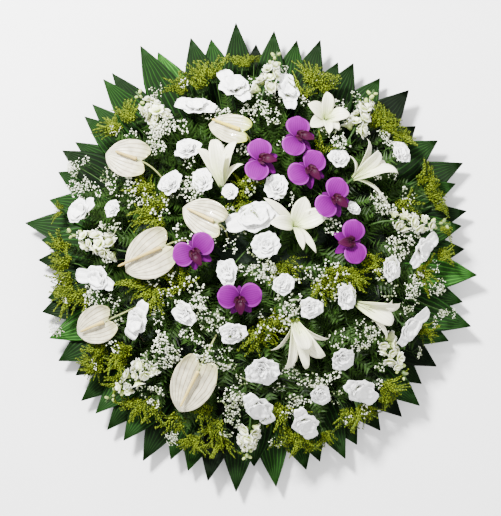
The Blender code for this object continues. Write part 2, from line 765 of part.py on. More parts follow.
def lily_mesh(base, axis, tepals):
    """A lily in one blade: a trumpet round its axis that opens into cupped, pointed tepals."""
    side = axis.orthogonal().normalized()
    over = axis.cross(side)

    def heading(point):
        away = point - base
        return math.atan2(away.dot(over), away.dot(side)) % math.tau

    def around(angle, radius, height):
        return base + axis * height + (side * math.cos(angle) + over * math.sin(angle)) * radius

    tepals = sorted(tepals, key=lambda tepal: heading(tepal[0]))
    angles = [heading(tip) for tip, _ in tepals]
    count = len(tepals)
    bm = bmesh.new()
    hearts = []
    notches = []
    for k in range(count):
        after = angles[k] if k else angles[0] + math.tau
        gap = (after - angles[k - 1]) / 2.0
        hearts.append(bm.verts.new(around(angles[k - 1] + gap, TRUMPET_RADIUS * 0.5, 0.0)))
        notches.append(bm.verts.new(around(angles[k - 1] + gap, TRUMPET_RADIUS, TRUMPET_DEPTH)))
    bm.faces.new(hearts)
    for k, (tip, half) in enumerate(tepals):
        left, right = notches[k], notches[(k + 1) % count]
        root = around(angles[k], TRUMPET_RADIUS * 1.25, TRUMPET_DEPTH)
        away = (tip - root) - axis * (tip - root).dot(axis)
        away.normalize()
        across = axis.cross(away)
        reach = (tip - root).length
        bend_in = root + axis * reach * 0.30 + away * reach * 0.10
        bend_out = tip - away * reach * 0.32 + axis * reach * 0.12
        keel = bm.verts.new(root)
        bm.faces.new((hearts[k], left, keel, right, hearts[(k + 1) % count]))
        row = (left, keel, right)
        for u, share in ((0.42, 0.92), (0.76, 0.80)):
            middle = bezier(root, bend_in, bend_out, tip, u)
            rim = axis * half * 0.30 * (1.0 - u)
            new_row = (bm.verts.new(middle - across * half * share + rim), bm.verts.new(middle),
                       bm.verts.new(middle + across * half * share + rim))
            bm.faces.new((row[0], new_row[0], new_row[1], row[1]))
            bm.faces.new((row[1], new_row[1], new_row[2], row[2]))
            row = new_row
        end = bm.verts.new(tip)
        bm.faces.new((row[0], end, row[1]))
        bm.faces.new((row[1], end, row[2]))
    return thickened(bm, PETAL_THICKNESS)


def make_lilies(garden):
    """Six lilies, whose tepals end where the photograph shows their tips."""
    for index, (place, drop, root, tepals) in enumerate(LILIES):
        node = Node(garden, f"lily_{index + 1}", "lily_tepal")
        base = on_face(place, drop / 1000.0)
        ends = []
        for x, y, width, lift in tepals:
            tip = on_face((x, y), lift / 1000.0)
            ends.append((tip, width * (EYE_HEIGHT - tip.z) / PHOTO_FOCAL / 2.0))
        middle = sum((tip for tip, _ in ends), Vector()) / len(ends)
        axis = ((middle - base).normalized() + outward(base) * 0.8).normalized()
        bloom = lily_mesh(base, axis, ends)
        rise = seat(node, bloom, outward(base))
        node.add([bloom])
        peg = root_of(garden, node, root, LILY_PEG)
        grow_stem(garden, node, peg, base + outward(base) * (rise + 0.002), LILY_STEM)


def orchid_mesh():
    """A moth orchid facing +Z in one blade: petals and sepals, and a raised lip towards +X."""
    def point(degrees, reach, lift):
        angle = math.radians(degrees)
        return Vector((reach * math.cos(angle), reach * math.sin(angle), lift)) * 0.001

    bm = bmesh.new()
    notches = [bm.verts.new(point(turn, ORCHID_THROAT, 0.0)) for turn in ORCHID_NOTCHES]
    bm.faces.new(notches)
    for k, (middle, outline) in enumerate(ORCHID_LOBES):
        rim = [bm.verts.new(point(middle + turn, reach, lift)) for turn, reach, lift in outline]
        bm.faces.new([notches[k]] + rim + [notches[(k + 1) % len(notches)]])
    return thickened(bm, PETAL_THICKNESS)


def add_orchid(garden, node, template, bloom, peg):
    """One orchid bloom on its stem, turned so that its lip points where the photograph shows it."""
    place, lip_place, lift = bloom
    origin = on_face(place, lift / 1000.0)
    ahead = on_face(lip_place, lift / 1000.0) - origin
    up = (outward(origin) + Vector((0, 0, 0.8))).normalized()
    mesh = placed(template, origin, up, ahead)
    rise = seat(node, mesh, up)
    node.add([mesh])
    grow_stem(garden, node, peg, origin + up * (rise + 0.008), ORCHID_STEM)


def make_orchids(garden):
    """A spray of five orchid blooms and two single ones."""
    template = orchid_mesh()
    spray = Node(garden, "orchid_spray", "orchid_petal")
    peg = root_of(garden, spray, ORCHID_SPRAY_ROOT, ORCHID_PEG)
    for bloom in ORCHID_SPRAY:
        add_orchid(garden, spray, template, bloom, peg)
    for index, (bloom, root) in enumerate(ORCHIDS):
        node = Node(garden, f"orchid_{index + 1}", "orchid_petal")
        peg = root_of(garden, node, root, ORCHID_PEG)
        add_orchid(garden, node, template, bloom, peg)


def rosette(radius, seed, lobes):
    """A full bloom facing +Z: a row of five petals, of which some reach out, round a raised heart.

    Each lobe is a heading and the distance in bloom radii that the petal there reaches.
    """
    rand = random.Random(seed)
    phase = rand.uniform(0.0, math.tau)

    def shape(turn, ring):
        wave = math.cos(5.0 * turn + phase)
        reach = 1.0
        for heading, distance in lobes:
            off = math.remainder(turn - heading, math.tau) / LOBE_SPREAD
            if abs(off) < 1.0:
                reach = max(reach, 1.0 + (distance - 1.0) * math.sqrt(1.0 - off * off))
        spread = (0.0, 0.36, reach * (1.0 + 0.10 * wave), 0.56 - 0.10 * wave, 0.0)[ring]
        edge = 0.06 + 0.16 * wave - 0.12 * (reach - 1.0)
        height = (-0.90, -0.62, edge, 0.36 - 0.14 * wave, 0.02)[ring]
        return radius * spread * math.cos(turn), radius * spread * math.sin(turn), radius * height

    return lump(10, 4, shape)


def make_lisianthus(garden):
    """Sprays of two or three white blooms that share a root."""
    for index, spray in enumerate(LISIANTHUS):
        node = Node(garden, f"lisianthus_{index + 1:02d}", "white_petal")
        peg = root_of(garden, node, middle_of(spray), LISIANTHUS_PEG)
        for number, (place, half, lobe, fold) in enumerate(spray):
            origin = on_face(place)
            radius = half * (EYE_HEIGHT - origin.z) / PHOTO_FOCAL
            up = (outward(origin) + Vector((0, 0, 0.35))).normalized()
            east = Vector((1.0, 0.0, 0.0))
            lobes = []
            for petal in (lobe, fold):
                if petal:
                    away = on_face(petal) - origin
                    lobes.append((math.atan2(away.y, away.x), away.length / radius))
            bloom = placed(rosette(radius, index * 7 + number, lobes), origin, up, east)
            rise = seat(node, bloom, up)
            node.add([bloom])
            goal = origin + up * (rise - radius * 0.55) + east * radius * 0.18
            grow_stem(garden, node, peg, goal, LISIANTHUS_STEM)


def sprout(bm, face, ways):
    """Grows a form out of one face of a closed mesh: (advance, scale) for each step."""
    for advance, scale in ways:
        face = bmesh.ops.extrude_discrete_faces(bm, faces=[face])["faces"][0]
        middle = face.calc_center_median()
        for vertex in face.verts:
            vertex.co = middle + (vertex.co - middle) * scale + advance
    return face


def mesh_of(bm):
    """The mesh of a finished form."""
    bmesh.ops.triangulate(bm, faces=bm.faces)
    mesh = bpy.data.meshes.new("sprouted")
    bm.to_mesh(mesh)
    bm.free()
    return mesh


def spike_mesh(low, high):
    """A flower spike: a tapering stalk whose skin swells out into bells, smaller to the tip."""
    axis = high - low
    up = outward(low)
    side = up.cross(axis).normalized()
    over = axis.cross(side).normalized()
    bm = bmesh.new()
    bmesh.ops.create_uvsphere(bm, u_segments=4, v_segments=SPIKE_RINGS, radius=1.0)
    bm.transform(Matrix.Rotation(math.pi / 4.0, 4, "Z"))
    budding = []
    for face in bm.faces:
        middle = face.calc_center_median()
        ring = round((1.0 - math.acos(middle.z) / math.pi) * SPIKE_RINGS - 0.5)
        quarter = round(math.atan2(middle.y, middle.x) / (math.pi / 2.0))
        if len(face.verts) == 4 and quarter != -1 and (ring + quarter) % 2 == 0:
            budding.append(face)
    for vertex in bm.verts:
        share = 1.0 - math.acos(max(-1.0, min(1.0, vertex.co.z))) / math.pi
        flat = Vector((vertex.co.x, vertex.co.y))
        flat = flat.normalized() if flat.length > 0.01 else flat
        thick = 0.0052 - 0.0026 * share
        vertex.co = low + axis * share + (side * flat.x + over * flat.y) * thick
    bm.normal_update()
    for face in budding:
        share = (face.calc_center_median() - low).dot(axis) / axis.length_squared
        way = (face.normal + axis.normalized() * 0.35) * (0.021 - 0.010 * share)
        end = sprout(bm, face, ((way, 1.75 - 0.3 * share),))
        crown = bmesh.ops.poke(bm, faces=[end])["verts"][0]
        crown.co -= way * 0.35
    return mesh_of(bm)


def make_spikes(garden):
    """Eight flower spikes that lie over the face."""
    for index, (foot, tip) in enumerate(SPIKES):
        node = Node(garden, f"flower_spike_{index + 1}", "spike_floret")
        low = on_face(foot, -SPIKE_DEPTH)
        high = on_face(tip)
        up = outward(low)
        spike = spike_mesh(low, high)
        rise = seat(node, spike, up)
        node.add([spike])
        peg = root_of(garden, node, foot, SPIKE_STEM)
        grow_stem(garden, node, peg, low + up * rise + (high - low) * 0.04, SPIKE_STEM)


def middle_of(spray):
    """The middle of a spray's flowers, in the photograph."""
    places = [flower[0] for flower in spray]
    return sum(x for x, _ in places) / len(places), sum(y for _, y in places) / len(places)


def make_fillers(garden, sprays, name, finish, cluster):
    """Sprays of filler flowers: each has one root and a branch to the core of every cluster.

    A cluster that finds no free place, or no clear route for its branch, is left out.
    """
    for index, spray in enumerate(sprays):
        node = Node(garden, f"{name}_{index + 1}", finish)
        peg = root_of(garden, node, middle_of(spray), FILLER_PEG)
        for number, flower in enumerate(spray):
            mesh, heart = cluster(node, flower, index * 20 + number)
            route = mesh and stem_route(garden, node, peg, heart, FILLER_STEM)
            if route:
                node.add([mesh, stem_mesh(route, FILLER_STEM)])


def core_of(heart, size, seed):
    """A small eight-faced bud that a cluster grows from, with one point along its stem."""
    up = outward(heart)
    bm = bmesh.new()
    bmesh.ops.create_uvsphere(bm, u_segments=4, v_segments=2, radius=size)
    turn = up.to_track_quat("Z", "Y").to_matrix().to_4x4()
    bm.transform(Matrix.Translation(heart) @ turn @ Matrix.Rotation(1.7 * seed, 4, "Z"))
    bm.normal_update()
    return bm


def snapshot(bm):
    """A mesh of a form that is still being made."""
    mesh = bpy.data.meshes.new("snapshot")
    bm.to_mesh(mesh)
    return mesh


def free_core(node, place, depth, size, seed):
    """A cluster's core at the nearest free place, and its middle; None for both without one."""
    for x, y in CLUSTER_SHIFTS:
        heart = on_face((place[0] + x, place[1] + y), -depth)
        bm = core_of(heart, size, seed)
        if node.clashes([snapshot(bm)]) == 0:
            return bm, heart
        bm.free()
    return None, None


def plume_cluster(node, flower, seed):
    """Goldenrod: knobbed, drooping plumes that grow from a small core and fan to one side."""
    place, end, plumes = flower
    rand = random.Random(seed)
    bm, heart = free_core(node, place, GOLDENROD_DEPTH, GOLDENROD_CORE, seed)
    if bm is None:
        return None, None
    up = outward(heart)
    heading = (on_face(end) - on_face(place)).normalized()
    wish = (heading + up * 0.6).normalized()
    faces = sorted(bm.faces, key=lambda f: -f.normal.dot(wish))
    grown = 0
    for face in faces:
        if grown == plumes:
            break
        way = (face.normal + wish * 0.45 + up * 0.25).normalized()
        length = rand.uniform(*PLUME_LENGTHS)
        start = face.calc_center_median() + way * 0.008
        if face.normal.dot(up) < -0.35:
            continue
        for cut in (1.0, 0.75, 0.5):
            reach = tube_points([start, start + way * length * cut], PLUME_RADIUS)
            if node.garden.room.clashes(reach, node.number) == 0:
                step = way * length * cut / 2.0
                droop = up * length * cut * 0.10
                sprout(bm, face, ((step, 1.15), (step - droop, 0.35)))
                grown += 1
                break
    return mesh_of(bm), heart


def cloud_cluster(node, flower, seed):
    """Gypsophila: flared florets on thin twigs that stand out of a small core."""
    place, florets = flower
    rand = random.Random(seed)
    bm, heart = free_core(node, place, GYPSOPHILA_DEPTH, GYPSOPHILA_CORE, seed)
    if bm is None:
        return None, None
    up = outward(heart)
    faces = sorted(bm.faces, key=lambda f: -f.normal.dot(up))
    grown = 0
    for face in faces:
        if grown == florets or face.normal.dot(up) < -0.2:
            break
        way = (face.normal + up * 0.30).normalized()
        length = rand.uniform(*TWIG_LENGTHS)
        start = face.calc_center_median() + way * 0.004
        tip = start + way * length
        flare = way * FLORET_DEPTH
        twig = tube_points([start, tip], TWIG_RADIUS)
        floret = tube_points([tip - flare, tip], FLORET_RADIUS)
        if node.garden.room.clashes(np.concatenate([twig, floret]), node.number) == 0:
            sprout(bm, face, ((way * (length - FLORET_DEPTH), 0.20), (flare, 6.0)))
            grown += 1
    return mesh_of(bm), heart


def bed_point(place, share):
    """A point between the pad and the flower face, on the ray of a place on the face."""
    top = Vector((place.x, place.y, face_height(math.hypot(place.x, place.y))))
    foot = pad_exit(outward(top))
    return foot.lerp(top, share)


def grow_rib(garden, node, start, heading, length, share):
    """A frond's rib, step by step over the pad, turning a little where something is in the way."""
    rib = [start]
    flat = Vector((start.x, start.y, 0.0))
    for _ in range(int(length / FROND_STEP)):
        for turn in (0.0, 0.2, -0.2, 0.4, -0.4, 0.65, -0.65):
            way = Vector((math.cos(heading + turn), math.sin(heading + turn), 0.0))
            ahead = flat + way * FROND_STEP * FROND_STRETCH
            if ahead.length > FROND_LIMIT:
                continue
            point = bed_point(ahead, share)
            if garden.room.clashes(tube_points([rib[-1], point], 0.0030), node.number) == 0:
                rib.append(point)
                flat = ahead
                heading += turn * 0.6
                break
        else:
            break
    return rib


def frond_mesh(garden, node, rib):
    """A frond cut to its rib: pointed leaflets on both sides, shorter where they meet a neighbour."""
    bm = bmesh.new()
    last = len(rib) - 1
    sides = []
    for index, point in enumerate(rib):
        along = (rib[min(index + 1, last)] - rib[max(index - 1, 0)]).normalized()
        side = along.cross(outward(point)).normalized()
        half = FROND_RIB * (1.0 if index < last else 0.35)
        sides.append((bm.verts.new(point + side * half), bm.verts.new(point - side * half), side, along))
    for index in range(last):
        here, there = sides[index], sides[index + 1]
        bm.faces.new((here[0], here[1], there[1], there[0]))
        fullness = math.sin(math.pi * (0.22 + 0.68 * index / max(last, 1)))
        for rail, sign in ((0, 1.0), (1, -1.0)):
            root, end = here[rail], there[rail]
            middle = (root.co + end.co) / 2.0
            way = (here[2] * sign + here[3] * 0.9).normalized()
            for cut in (1.0, 0.72, 0.5, 0.32):
                tip = middle + way * LEAFLET_REACH * fullness * cut
                if leaflet_clear(garden, node, root.co, end.co, tip):
                    corner = bm.verts.new(tip)
                    order = (root, end, corner) if sign < 0 else (root, corner, end)
                    bm.faces.new(order)
                    break
    return thickened(bm, LEAF_THICKNESS)


def leaflet_clear(garden, node, root, end, tip):
    """Whether a leaflet with these three corners meets no other node."""
    steps = 26
    points = []
    for i in range(steps + 1):
        for j in range(0, steps + 1 - i, 2):
            a, b = i / steps, j / steps
            points.append(root * (1 - a - b) + end * a + tip * b)
            points.append(root * (1 - a - b) + tip * a + end * b)
    return garden.room.clashes(np.array(points), node.number) == 0


def make_ferns(garden):
    """Three fern bunches low between the stems; a frond with no way out of its root is left out."""
    for index, (place, fronds) in enumerate(FERNS):
        node = Node(garden, f"fern_{index + 1}", "fern_green")
        peg = root_of(garden, node, place, FERN_PEG)
        hub = peg + outward(peg) * 0.0015
        for number, (heading, length) in enumerate(fronds):
            share = FROND_SHARE + FROND_SHARE_STEP * (number % 3)
            rib = grow_rib(garden, node, hub, math.radians(heading), length, share)
            if len(rib) > 2:
                rib[0] = hub - outward(hub) * 0.0008 * number
                node.add([frond_mesh(garden, node, rib)])


def main_body(mesh):
    """Drops loose scraps and fills sealed hollows, by keeping only the largest shell."""
    bm = bmesh.new()
    bm.from_mesh(mesh)
    bmesh.ops.triangulate(bm, faces=bm.faces)
    left = set(bm.faces)
    shells = []
    while left:
        shell = {left.pop()}
        edge = list(shell)
        while edge:
            face = edge.pop()
            for rim in face.edges:
                for other in rim.link_faces:
                    if other in left:
                        left.discard(other)
                        shell.add(other)
                        edge.append(other)
        shells.append(shell)
    shells.sort(key=len, reverse=True)
    for shell in shells[1:]:
        bmesh.ops.delete(bm, geom=list(shell), context="FACES")
    bm.to_mesh(mesh)
    bm.free()


def is_closed(bm):
    """Whether a form is one skin without holes or pinches."""
    edges = all(edge.is_manifold and edge.is_contiguous for edge in bm.edges)
    return edges and all(vertex.is_manifold for vertex in bm.verts)


def slimmed(mesh):
    """Merges the slivers that a union leaves, as far as the skin stays closed; False if it never is."""
    whole = bmesh.new()
    whole.from_mesh(mesh)
    for share in (1.0, 0.6, 0.35, 0.2, 0.1, 0.01):
        bm = whole.copy()
        bmesh.ops.remove_doubles(bm, verts=bm.verts, dist=SLIVER * share)
        bmesh.ops.dissolve_degenerate(bm, edges=bm.edges, dist=SLIVER * share / 4)
        bmesh.ops.triangulate(bm, faces=bm.faces)
        closed = is_closed(bm)
        if closed:
            bm.to_mesh(mesh)
        bm.free()
        if closed:
            break
    whole.free()
    return closed


def united(node, rest, solver):
    """The node's pieces in one Boolean union, which is applied, without loose scraps."""
    base = object_of(node.pieces[0].copy(), node.name)
    union = base.modifiers.new("join", "BOOLEAN")
    union.operation = "UNION"
    union.solver = solver
    union.operand_type = "COLLECTION"
    union.collection = rest
    joined = finished_mesh(base)
    main_body(joined)
    return joined


def join(node, collection):
    """Makes the node one closed body and gives it its name and material."""
    joined = node.pieces[0]
    if len(node.pieces) > 1:
        rest = new_collection(node.name + "_pieces")
        for mesh in node.pieces[1:]:
            rest.objects.link(bpy.data.objects.new("piece", mesh))
        for solver in ("EXACT", "MANIFOLD"):
            joined = united(node, rest, solver)
            if slimmed(joined):
                break
        for obj in list(rest.objects):
            bpy.data.objects.remove(obj, do_unlink=True)
        bpy.data.collections.remove(rest)
    base = object_of(joined, node.name)
    bpy.context.scene.collection.objects.unlink(base)
    collection.objects.link(base)
    base.data.name = node.name
    base.data.materials.clear()
    base.data.materials.append(new_material(node.finish))
    return base


def drill(pad, holes):
    """Cuts the plain holes that the stems stand in."""
    cutters = new_collection("cutters")
    for start, end, flat in holes:
        radius = flat / math.cos(math.pi / HOLE_SIDES)
        cutter = bpy.data.objects.new("hole", cone_between(start, end, radius, radius, HOLE_SIDES))
        cutter.hide_render = True
        cutter.display_type = "WIRE"
        cutters.objects.link(cutter)
    cut = pad.modifiers.new("holes", "BOOLEAN")
    cut.operation = "DIFFERENCE"
    cut.solver = "EXACT"
    cut.operand_type = "COLLECTION"
    cut.collection = cutters


def main():
    """Plants the wreath from the board up, and makes each node one closed body."""
    clear_scene()
    collection = new_collection("funeral_wreath")
    garden = Garden()
    make_board(garden)
    make_pad(garden)
    make_collar(garden)
    make_anthuriums(garden)
    make_orchids(garden)
    make_lilies(garden)
    make_lisianthus(garden)
    make_spikes(garden)
    make_fillers(garden, GOLDENROD, "goldenrod", "goldenrod", plume_cluster)
    make_fillers(garden, GYPSOPHILA, "gypsophila", "gypsophila", cloud_cluster)
    make_ferns(garden)
    for node in garden.nodes:
        obj = join(node, collection)
        if node.number == PAD_NUMBER:
            drill(obj, garden.holes)


main()
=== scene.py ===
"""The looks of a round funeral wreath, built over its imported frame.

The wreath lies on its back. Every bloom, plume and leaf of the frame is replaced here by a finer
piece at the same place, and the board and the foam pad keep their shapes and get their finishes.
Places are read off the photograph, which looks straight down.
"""
import math
import random

import bmesh
import bpy
import numpy as np
from mathutils import Matrix, Vector


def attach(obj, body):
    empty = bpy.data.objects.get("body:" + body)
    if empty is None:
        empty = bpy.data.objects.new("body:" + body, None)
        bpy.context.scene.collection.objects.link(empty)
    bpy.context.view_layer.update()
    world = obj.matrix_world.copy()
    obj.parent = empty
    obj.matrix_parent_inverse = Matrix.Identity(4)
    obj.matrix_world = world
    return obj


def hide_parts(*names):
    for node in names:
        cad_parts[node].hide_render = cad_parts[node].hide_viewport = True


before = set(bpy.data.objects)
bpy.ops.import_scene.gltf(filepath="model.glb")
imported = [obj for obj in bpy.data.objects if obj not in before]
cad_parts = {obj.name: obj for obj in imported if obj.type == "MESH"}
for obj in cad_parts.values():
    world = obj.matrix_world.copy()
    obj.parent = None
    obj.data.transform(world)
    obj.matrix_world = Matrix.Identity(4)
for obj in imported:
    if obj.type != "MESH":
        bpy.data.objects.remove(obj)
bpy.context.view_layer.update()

bl_info = {
    "name": "Funeral Wreath",
    "version": (1, 0, 0),
    "blender": (4, 5, 0),
    "location": "View3D > Sidebar > Wreath",
    "description": "Builds the blooms, plumes and leaves of a round funeral wreath over its frame",
    "category": "Add Mesh",
}

# A millimetre, and the turn from one floret of a spiral to the next
MM = 0.001
GOLDEN_TURN = 2.39996

# The shared places of the frame: the photograph's camera, the dome of the flower face, the pad and
# the pegs, with the lifts that a flower may have been raised by and the steps of the searches
EYE_HEIGHT = 3.0
PHOTO_FOCAL = 1327.0
PHOTO_CENTRE = (250.5, 258.0)
PHOTO_HEIGHT = 516.0
FOCUS = Vector((0.0, 0.0, -0.130))
FACE_CROWN = 0.210
FACE_FALL = 1.70
SIGHT_STEPS = 6
PAD_RADIUS = 0.300
PAD_WALL_TOP = 0.072
PAD_CROWN = 0.125
PEG_DEPTH = 0.030
PEG_REACH = 0.009
PEG_END = 0.002
SEAT_LIFTS = (0.0, 0.006, 0.012, -0.006, 0.018, 0.025, 0.032)
LOOSE_DEPTH = 0.006
LOOSE_FLOOR = 0.036
PAD_SEARCH_START = 0.10
PAD_SEARCH_STEP = 0.0005

# The thirds of the disc, in degrees: where the first one starts, and how wide each one is
THIRDS_START = 90.0
THIRD = 120.0

# Shaping: how near a corner is to its row, and a cup's steps from a blade's middle line outwards
ROW_REACH = 0.3
CUP_STEPS = ((0.25, 0.4), (0.40, 0.6))

# Hidden stems: the pieces of a curve, and how hard its two ends pull it straight
STEM_STEPS = 8
STEM_PULL = 0.4

# Finishes: tint of an average part, its range of light, relief, veins, mottling, rims and grains
MIDDLE_TINT = 0.5
TINT_RANGE = (0.5, 0.75)
RELIEF_DEPTH = 0.001
VEIN_DRIFT = 0.05
VEIN_DRIFT_SCALE = 40.0
VEIN_EDGE = 0.55
MOTTLE_HEIGHT = 0.4
MOTTLE_MIDDLE = 0.6
RIM_RANGE = (0.38, 0.5)
GRAIN_RANGE = (0.35, 1.45)

# Palm leaf tips in the photograph's pixels
LEAF_TIPS = (
    (236, 24), (256, 44), (274, 32), (297, 40), (320, 41), (338, 62), (353, 64), (380, 78),
    (408, 91), (416, 126), (437, 141), (463, 163), (455, 184), (467, 211), (461, 226),
    (465, 249), (476, 275), (463, 302), (470, 326), (449, 341), (436, 366), (422, 384),
    (419, 405), (402, 417), (380, 430), (357, 445), (345, 458), (320, 462), (306, 469),
    (276, 487), (254, 466), (236, 492), (208, 480), (188, 471), (171, 459), (143, 461),
    (124, 440), (107, 430), (96, 413), (81, 401), (76, 375), (58, 361), (50, 338),
    (42, 312), (48, 298), (38, 260), (42, 240), (25, 223), (50, 200), (58, 172), (63, 151),
    (75, 142), (85, 117), (92, 104), (104, 80), (112, 73), (141, 47), (158, 52), (191, 39),
    (211, 39),
)
SILVER_LEAVES = ((476, 275), (50, 338), (158, 52))
BLACK_LEAVES = ((256, 44), (408, 91), (416, 126), (208, 480), (76, 375), (402, 417), (436, 366))
LEAF_ROOT_RADIUS = 0.305
LEAF_GRIP = 0.024
LEAF_LAYERS = (("back", 0.0209, 4.5), ("front", 0.0224, 9.0))
LEAF_SECTORS = 3
LEAF_TIP_HEIGHT = 0.040
LEAF_DEPTH = 0.2
LEAF_WIDEST = 0.25
LEAF_WIDTH = 0.4018
LEAF_ROLL = 0.5
LEAF_TINTS = (-0.5, 1.9)
SILVER_TINT = 7.0
BLACK_TINT = -1.0

# Anthuriums: notch, tip, half width of the heart and end of the spadix
ANTHURIUMS = (
    ((141, 161), (106, 153), 20, (119, 153)),
    ((243, 132), (210, 124), 16, (215, 122)),
    ((217, 223), (184, 208), 19, (190, 210)),
    ((165, 246), (127, 271), 24, (122, 265)),
    ((108, 320), (77, 334), 19, (84, 330)),
    ((200, 367), (180, 411), 22, (182, 403)),
)
SPATHE_LIFT = (0.012, 0.010, 0.014, 0.012, 0.008, 0.008)
YELLOWED_SPATHE = 1
SPATHE_DEPTH = 0.08
SPATHE_REACH = 1.04
SPATHE_TIP_LIFT = 0.0012
NECK_TOP = 0.0045
NECK_SETBACK = 0.006
STALK_RADIUS = 0.0019
STALK_RISE = 0.45
SPADIX_RADIUS = 0.0038
SPADIX_HEIGHT = 0.0096
SPADIX_RISE = 0.12
BEAD_SWELL = 1.10

# Lilies: base of the trumpet, its lift, and each tepal's tip, width and lift in mm
LILIES = (
    ((222, 188), -12, (
        (197, 151, 13, 14), (214, 141, 15, 4), (238, 143, 11, 20), (244, 166, 8, 2),
        (228, 156, 12, 34))),
    ((325, 120), -22, (
        (308, 104, 15, 10), (327, 92, 12, 16), (350, 115, 14, 12), (329, 134, 9, 6),
        (310, 127, 13, 4), (339, 130, 9, 0))),
    ((353, 179), -10, (
        (367, 139, 9, 6), (378, 151, 14, 14), (398, 174, 16, 22), (350, 156, 8, 2),
        (388, 208, 11, 0), (385, 163, 8, -4))),
    ((294, 226), -20, (
        (264, 198, 8, 14), (305, 197, 17, 2), (328, 213, 17, 4), (270, 223, 14, 22),
        (303, 250, 8, 16), (316, 253, 7, 12))),
    ((356, 303), -12, (
        (392, 300, 11, 26), (400, 303, 10, 4), (392, 324, 15, 14), (385, 340, 6, 2))),
    ((294, 320), -12, (
        (271, 350, 6, 2), (284, 369, 12, 6), (306, 369, 9, 2), (325, 356, 15, 8),
        (329, 338, 7, 2), (304, 350, 18, 34))),
)
TRUMPET_RADIUS = 0.0075
TRUMPET_DEPTH = 0.016
TEPAL_WIDTHS = (0.34, 0.46, 0.62, 0.79, 0.92, 1.0, 0.99, 0.88, 0.68, 0.40, 0.04)
TEPAL_WIDTH = 0.56
TEPAL_THICKNESS = 0.0007
TEPAL_RIDGE = 0.10
TEPAL_CUP = 0.32
TEPAL_WAVE = 0.09
BEND_STEP = 0.02
STAMENS = 5
STAMEN_RADIUS = 0.0006
PISTIL_LENGTH = 0.040
PISTIL_RADIUS = 0.0011
LILY_STEM = 0.0028

# Moth orchids: middle of the bloom, where its lip points, and its lift in mm
ORCHIDS = (
    ("orchid_spray", (
        ((297, 138), (309, 141), 12), ((260, 161), (276, 163), 12), ((307, 170), (317, 181), 8),
        ((332, 199), (342, 206), 20), ((351, 242), (338, 243), 8))),
    ("orchid_1", (((196, 251), (202, 262), 12),)),
    ("orchid_2", (((240, 297), (241, 311), 10),)),
)
ORCHID_STEM = 0.0018
ORCHID_ENDS = ((0.0477, -0.0050, 0.008), (-0.0477, -0.0050, 0.008), (0.0, -0.037, -0.004))

# Parts of a bloom: kind, turn in degrees, width, length, start, height, tilt in degrees and tint
ORCHID_PARTS = (
    ("sepal", 180.0, 0.015, 0.024, 0.0, 0.0010, -6.0, 0.2),
    ("sepal", 30.0, 0.022, 0.041, 0.0, 0.0005, -7.0, 0.7),
    ("sepal", -30.0, 0.022, 0.041, 0.0, 0.0000, -7.0, 0.7),
    ("petal", 100.0, 0.052, 0.047, 0.001, 0.0030, 5.0, 0.6),
    ("petal", -100.0, 0.052, 0.047, 0.001, 0.0030, 5.0, 0.6),
    ("lobe", 0.0, 0.024, 0.036, 0.001, 0.0060, 16.0, 0.9),
    ("lobe", 58.0, 0.016, 0.018, 0.001, 0.0065, 34.0, 0.4),
    ("lobe", -58.0, 0.016, 0.018, 0.001, 0.0065, 34.0, 0.4),
)

# White lisianthus sprays: middle of each bloom, its half width, its outer lobe and folded petal
LISIANTHUS = (
    (((234, 86), 14, (222, 70), (246, 105)), ((288, 91), 13, (286, 73), (289, 113))),
    (((196, 106), 13, (177, 102), (215, 113)), ((187, 149), 14, None, None)),
    (((170, 184), 12, None, None), ((202, 180), 12, None, None), ((230, 192), 8, None, None)),
    (((254, 217), 17, (229, 226), (281, 212)), ((266, 245), 13, None, None),
     ((227, 271), 13, None, None)),
    (((276, 187), 13, None, None), ((353, 208), 8, None, None)),
    (((338, 159), 11, None, None), ((400, 153), 11, None, None)),
    (((80, 211), 12, (97, 204), None), ((113, 209), 10, None, None),
     ((98, 278), 13, (76, 275), (116, 285))),
    (((137, 321), 13, (129, 337), (148, 302)), ((184, 313), 13, None, None)),
    (((232, 333), 13, None, None), ((262, 370), 17, None, None)),
    (((259, 408), 14, (270, 423), (248, 392)), ((305, 424), 13, (313, 439), (297, 404))),
    (((361, 391), 14, (376, 402), (344, 380)), ((320, 394), 12, None, None),
     ((342, 358), 13, None, None)),
    (((310, 308), 12, None, None), ((283, 284), 11, None, None), ((346, 297), 12, None, None)),
    (((390, 269), 12, None, None), ((423, 250), 13, (437, 236), (408, 264)),
     ((410, 328), 13, (427, 311), (399, 343))),
)

# Petal rings: count, distance from the axis, foot height, tilt in degrees, length, width and turn
FULL_BLOOM = (
    (6, 0.10, -0.55, 30.0, 1.10, 1.15, 0.0), (5, 0.08, -0.47, 48.0, 0.98, 1.0, 0.4),
    (4, 0.06, -0.40, 63.0, 0.84, 0.85, 0.1), (3, 0.04, -0.34, 76.0, 0.66, 0.62, 0.5),
)
LOOSE_BLOOM = (
    (4, 0.05, -0.50, 26.0, 1.12, 1.45, 0.1), (3, 0.02, -0.38, 40.0, 1.0, 1.35, 0.5),
    (2, -0.22, -0.10, 16.0, 0.95, 1.15, 0.2),
)
BLOOM_SCALE = 0.03
LOBE_TILT = math.radians(7.0)
LISIANTHUS_STEM = 0.0017

# White flower spikes: foot and tip of the flowering part
SPIKES = (
    ((166, 126), (136, 92)), ((262, 104), (277, 62)), ((352, 134), (374, 90)),
    ((118, 250), (66, 232)), ((386, 222), (446, 226)), ((152, 362), (106, 402)),
    ((382, 338), (406, 380)), ((250, 424), (246, 460)),
)
SPIKE_DEPTH = 0.018
SPIKE_RADIUS = 0.0026
SPIKE_STEM = 0.0020
SPIKE_FLORETS = 24
SPIKE_HIDDEN = -0.6
BELL_SHARE = 0.66
BUD_SIZE = 0.62

# Rings of petals in a spike's bell: count, distance from the axis, tilt in degrees and turn
BELL_RINGS = ((5, 0.04, 44.0, 0.0), (2, 0.02, 72.0, 0.4))

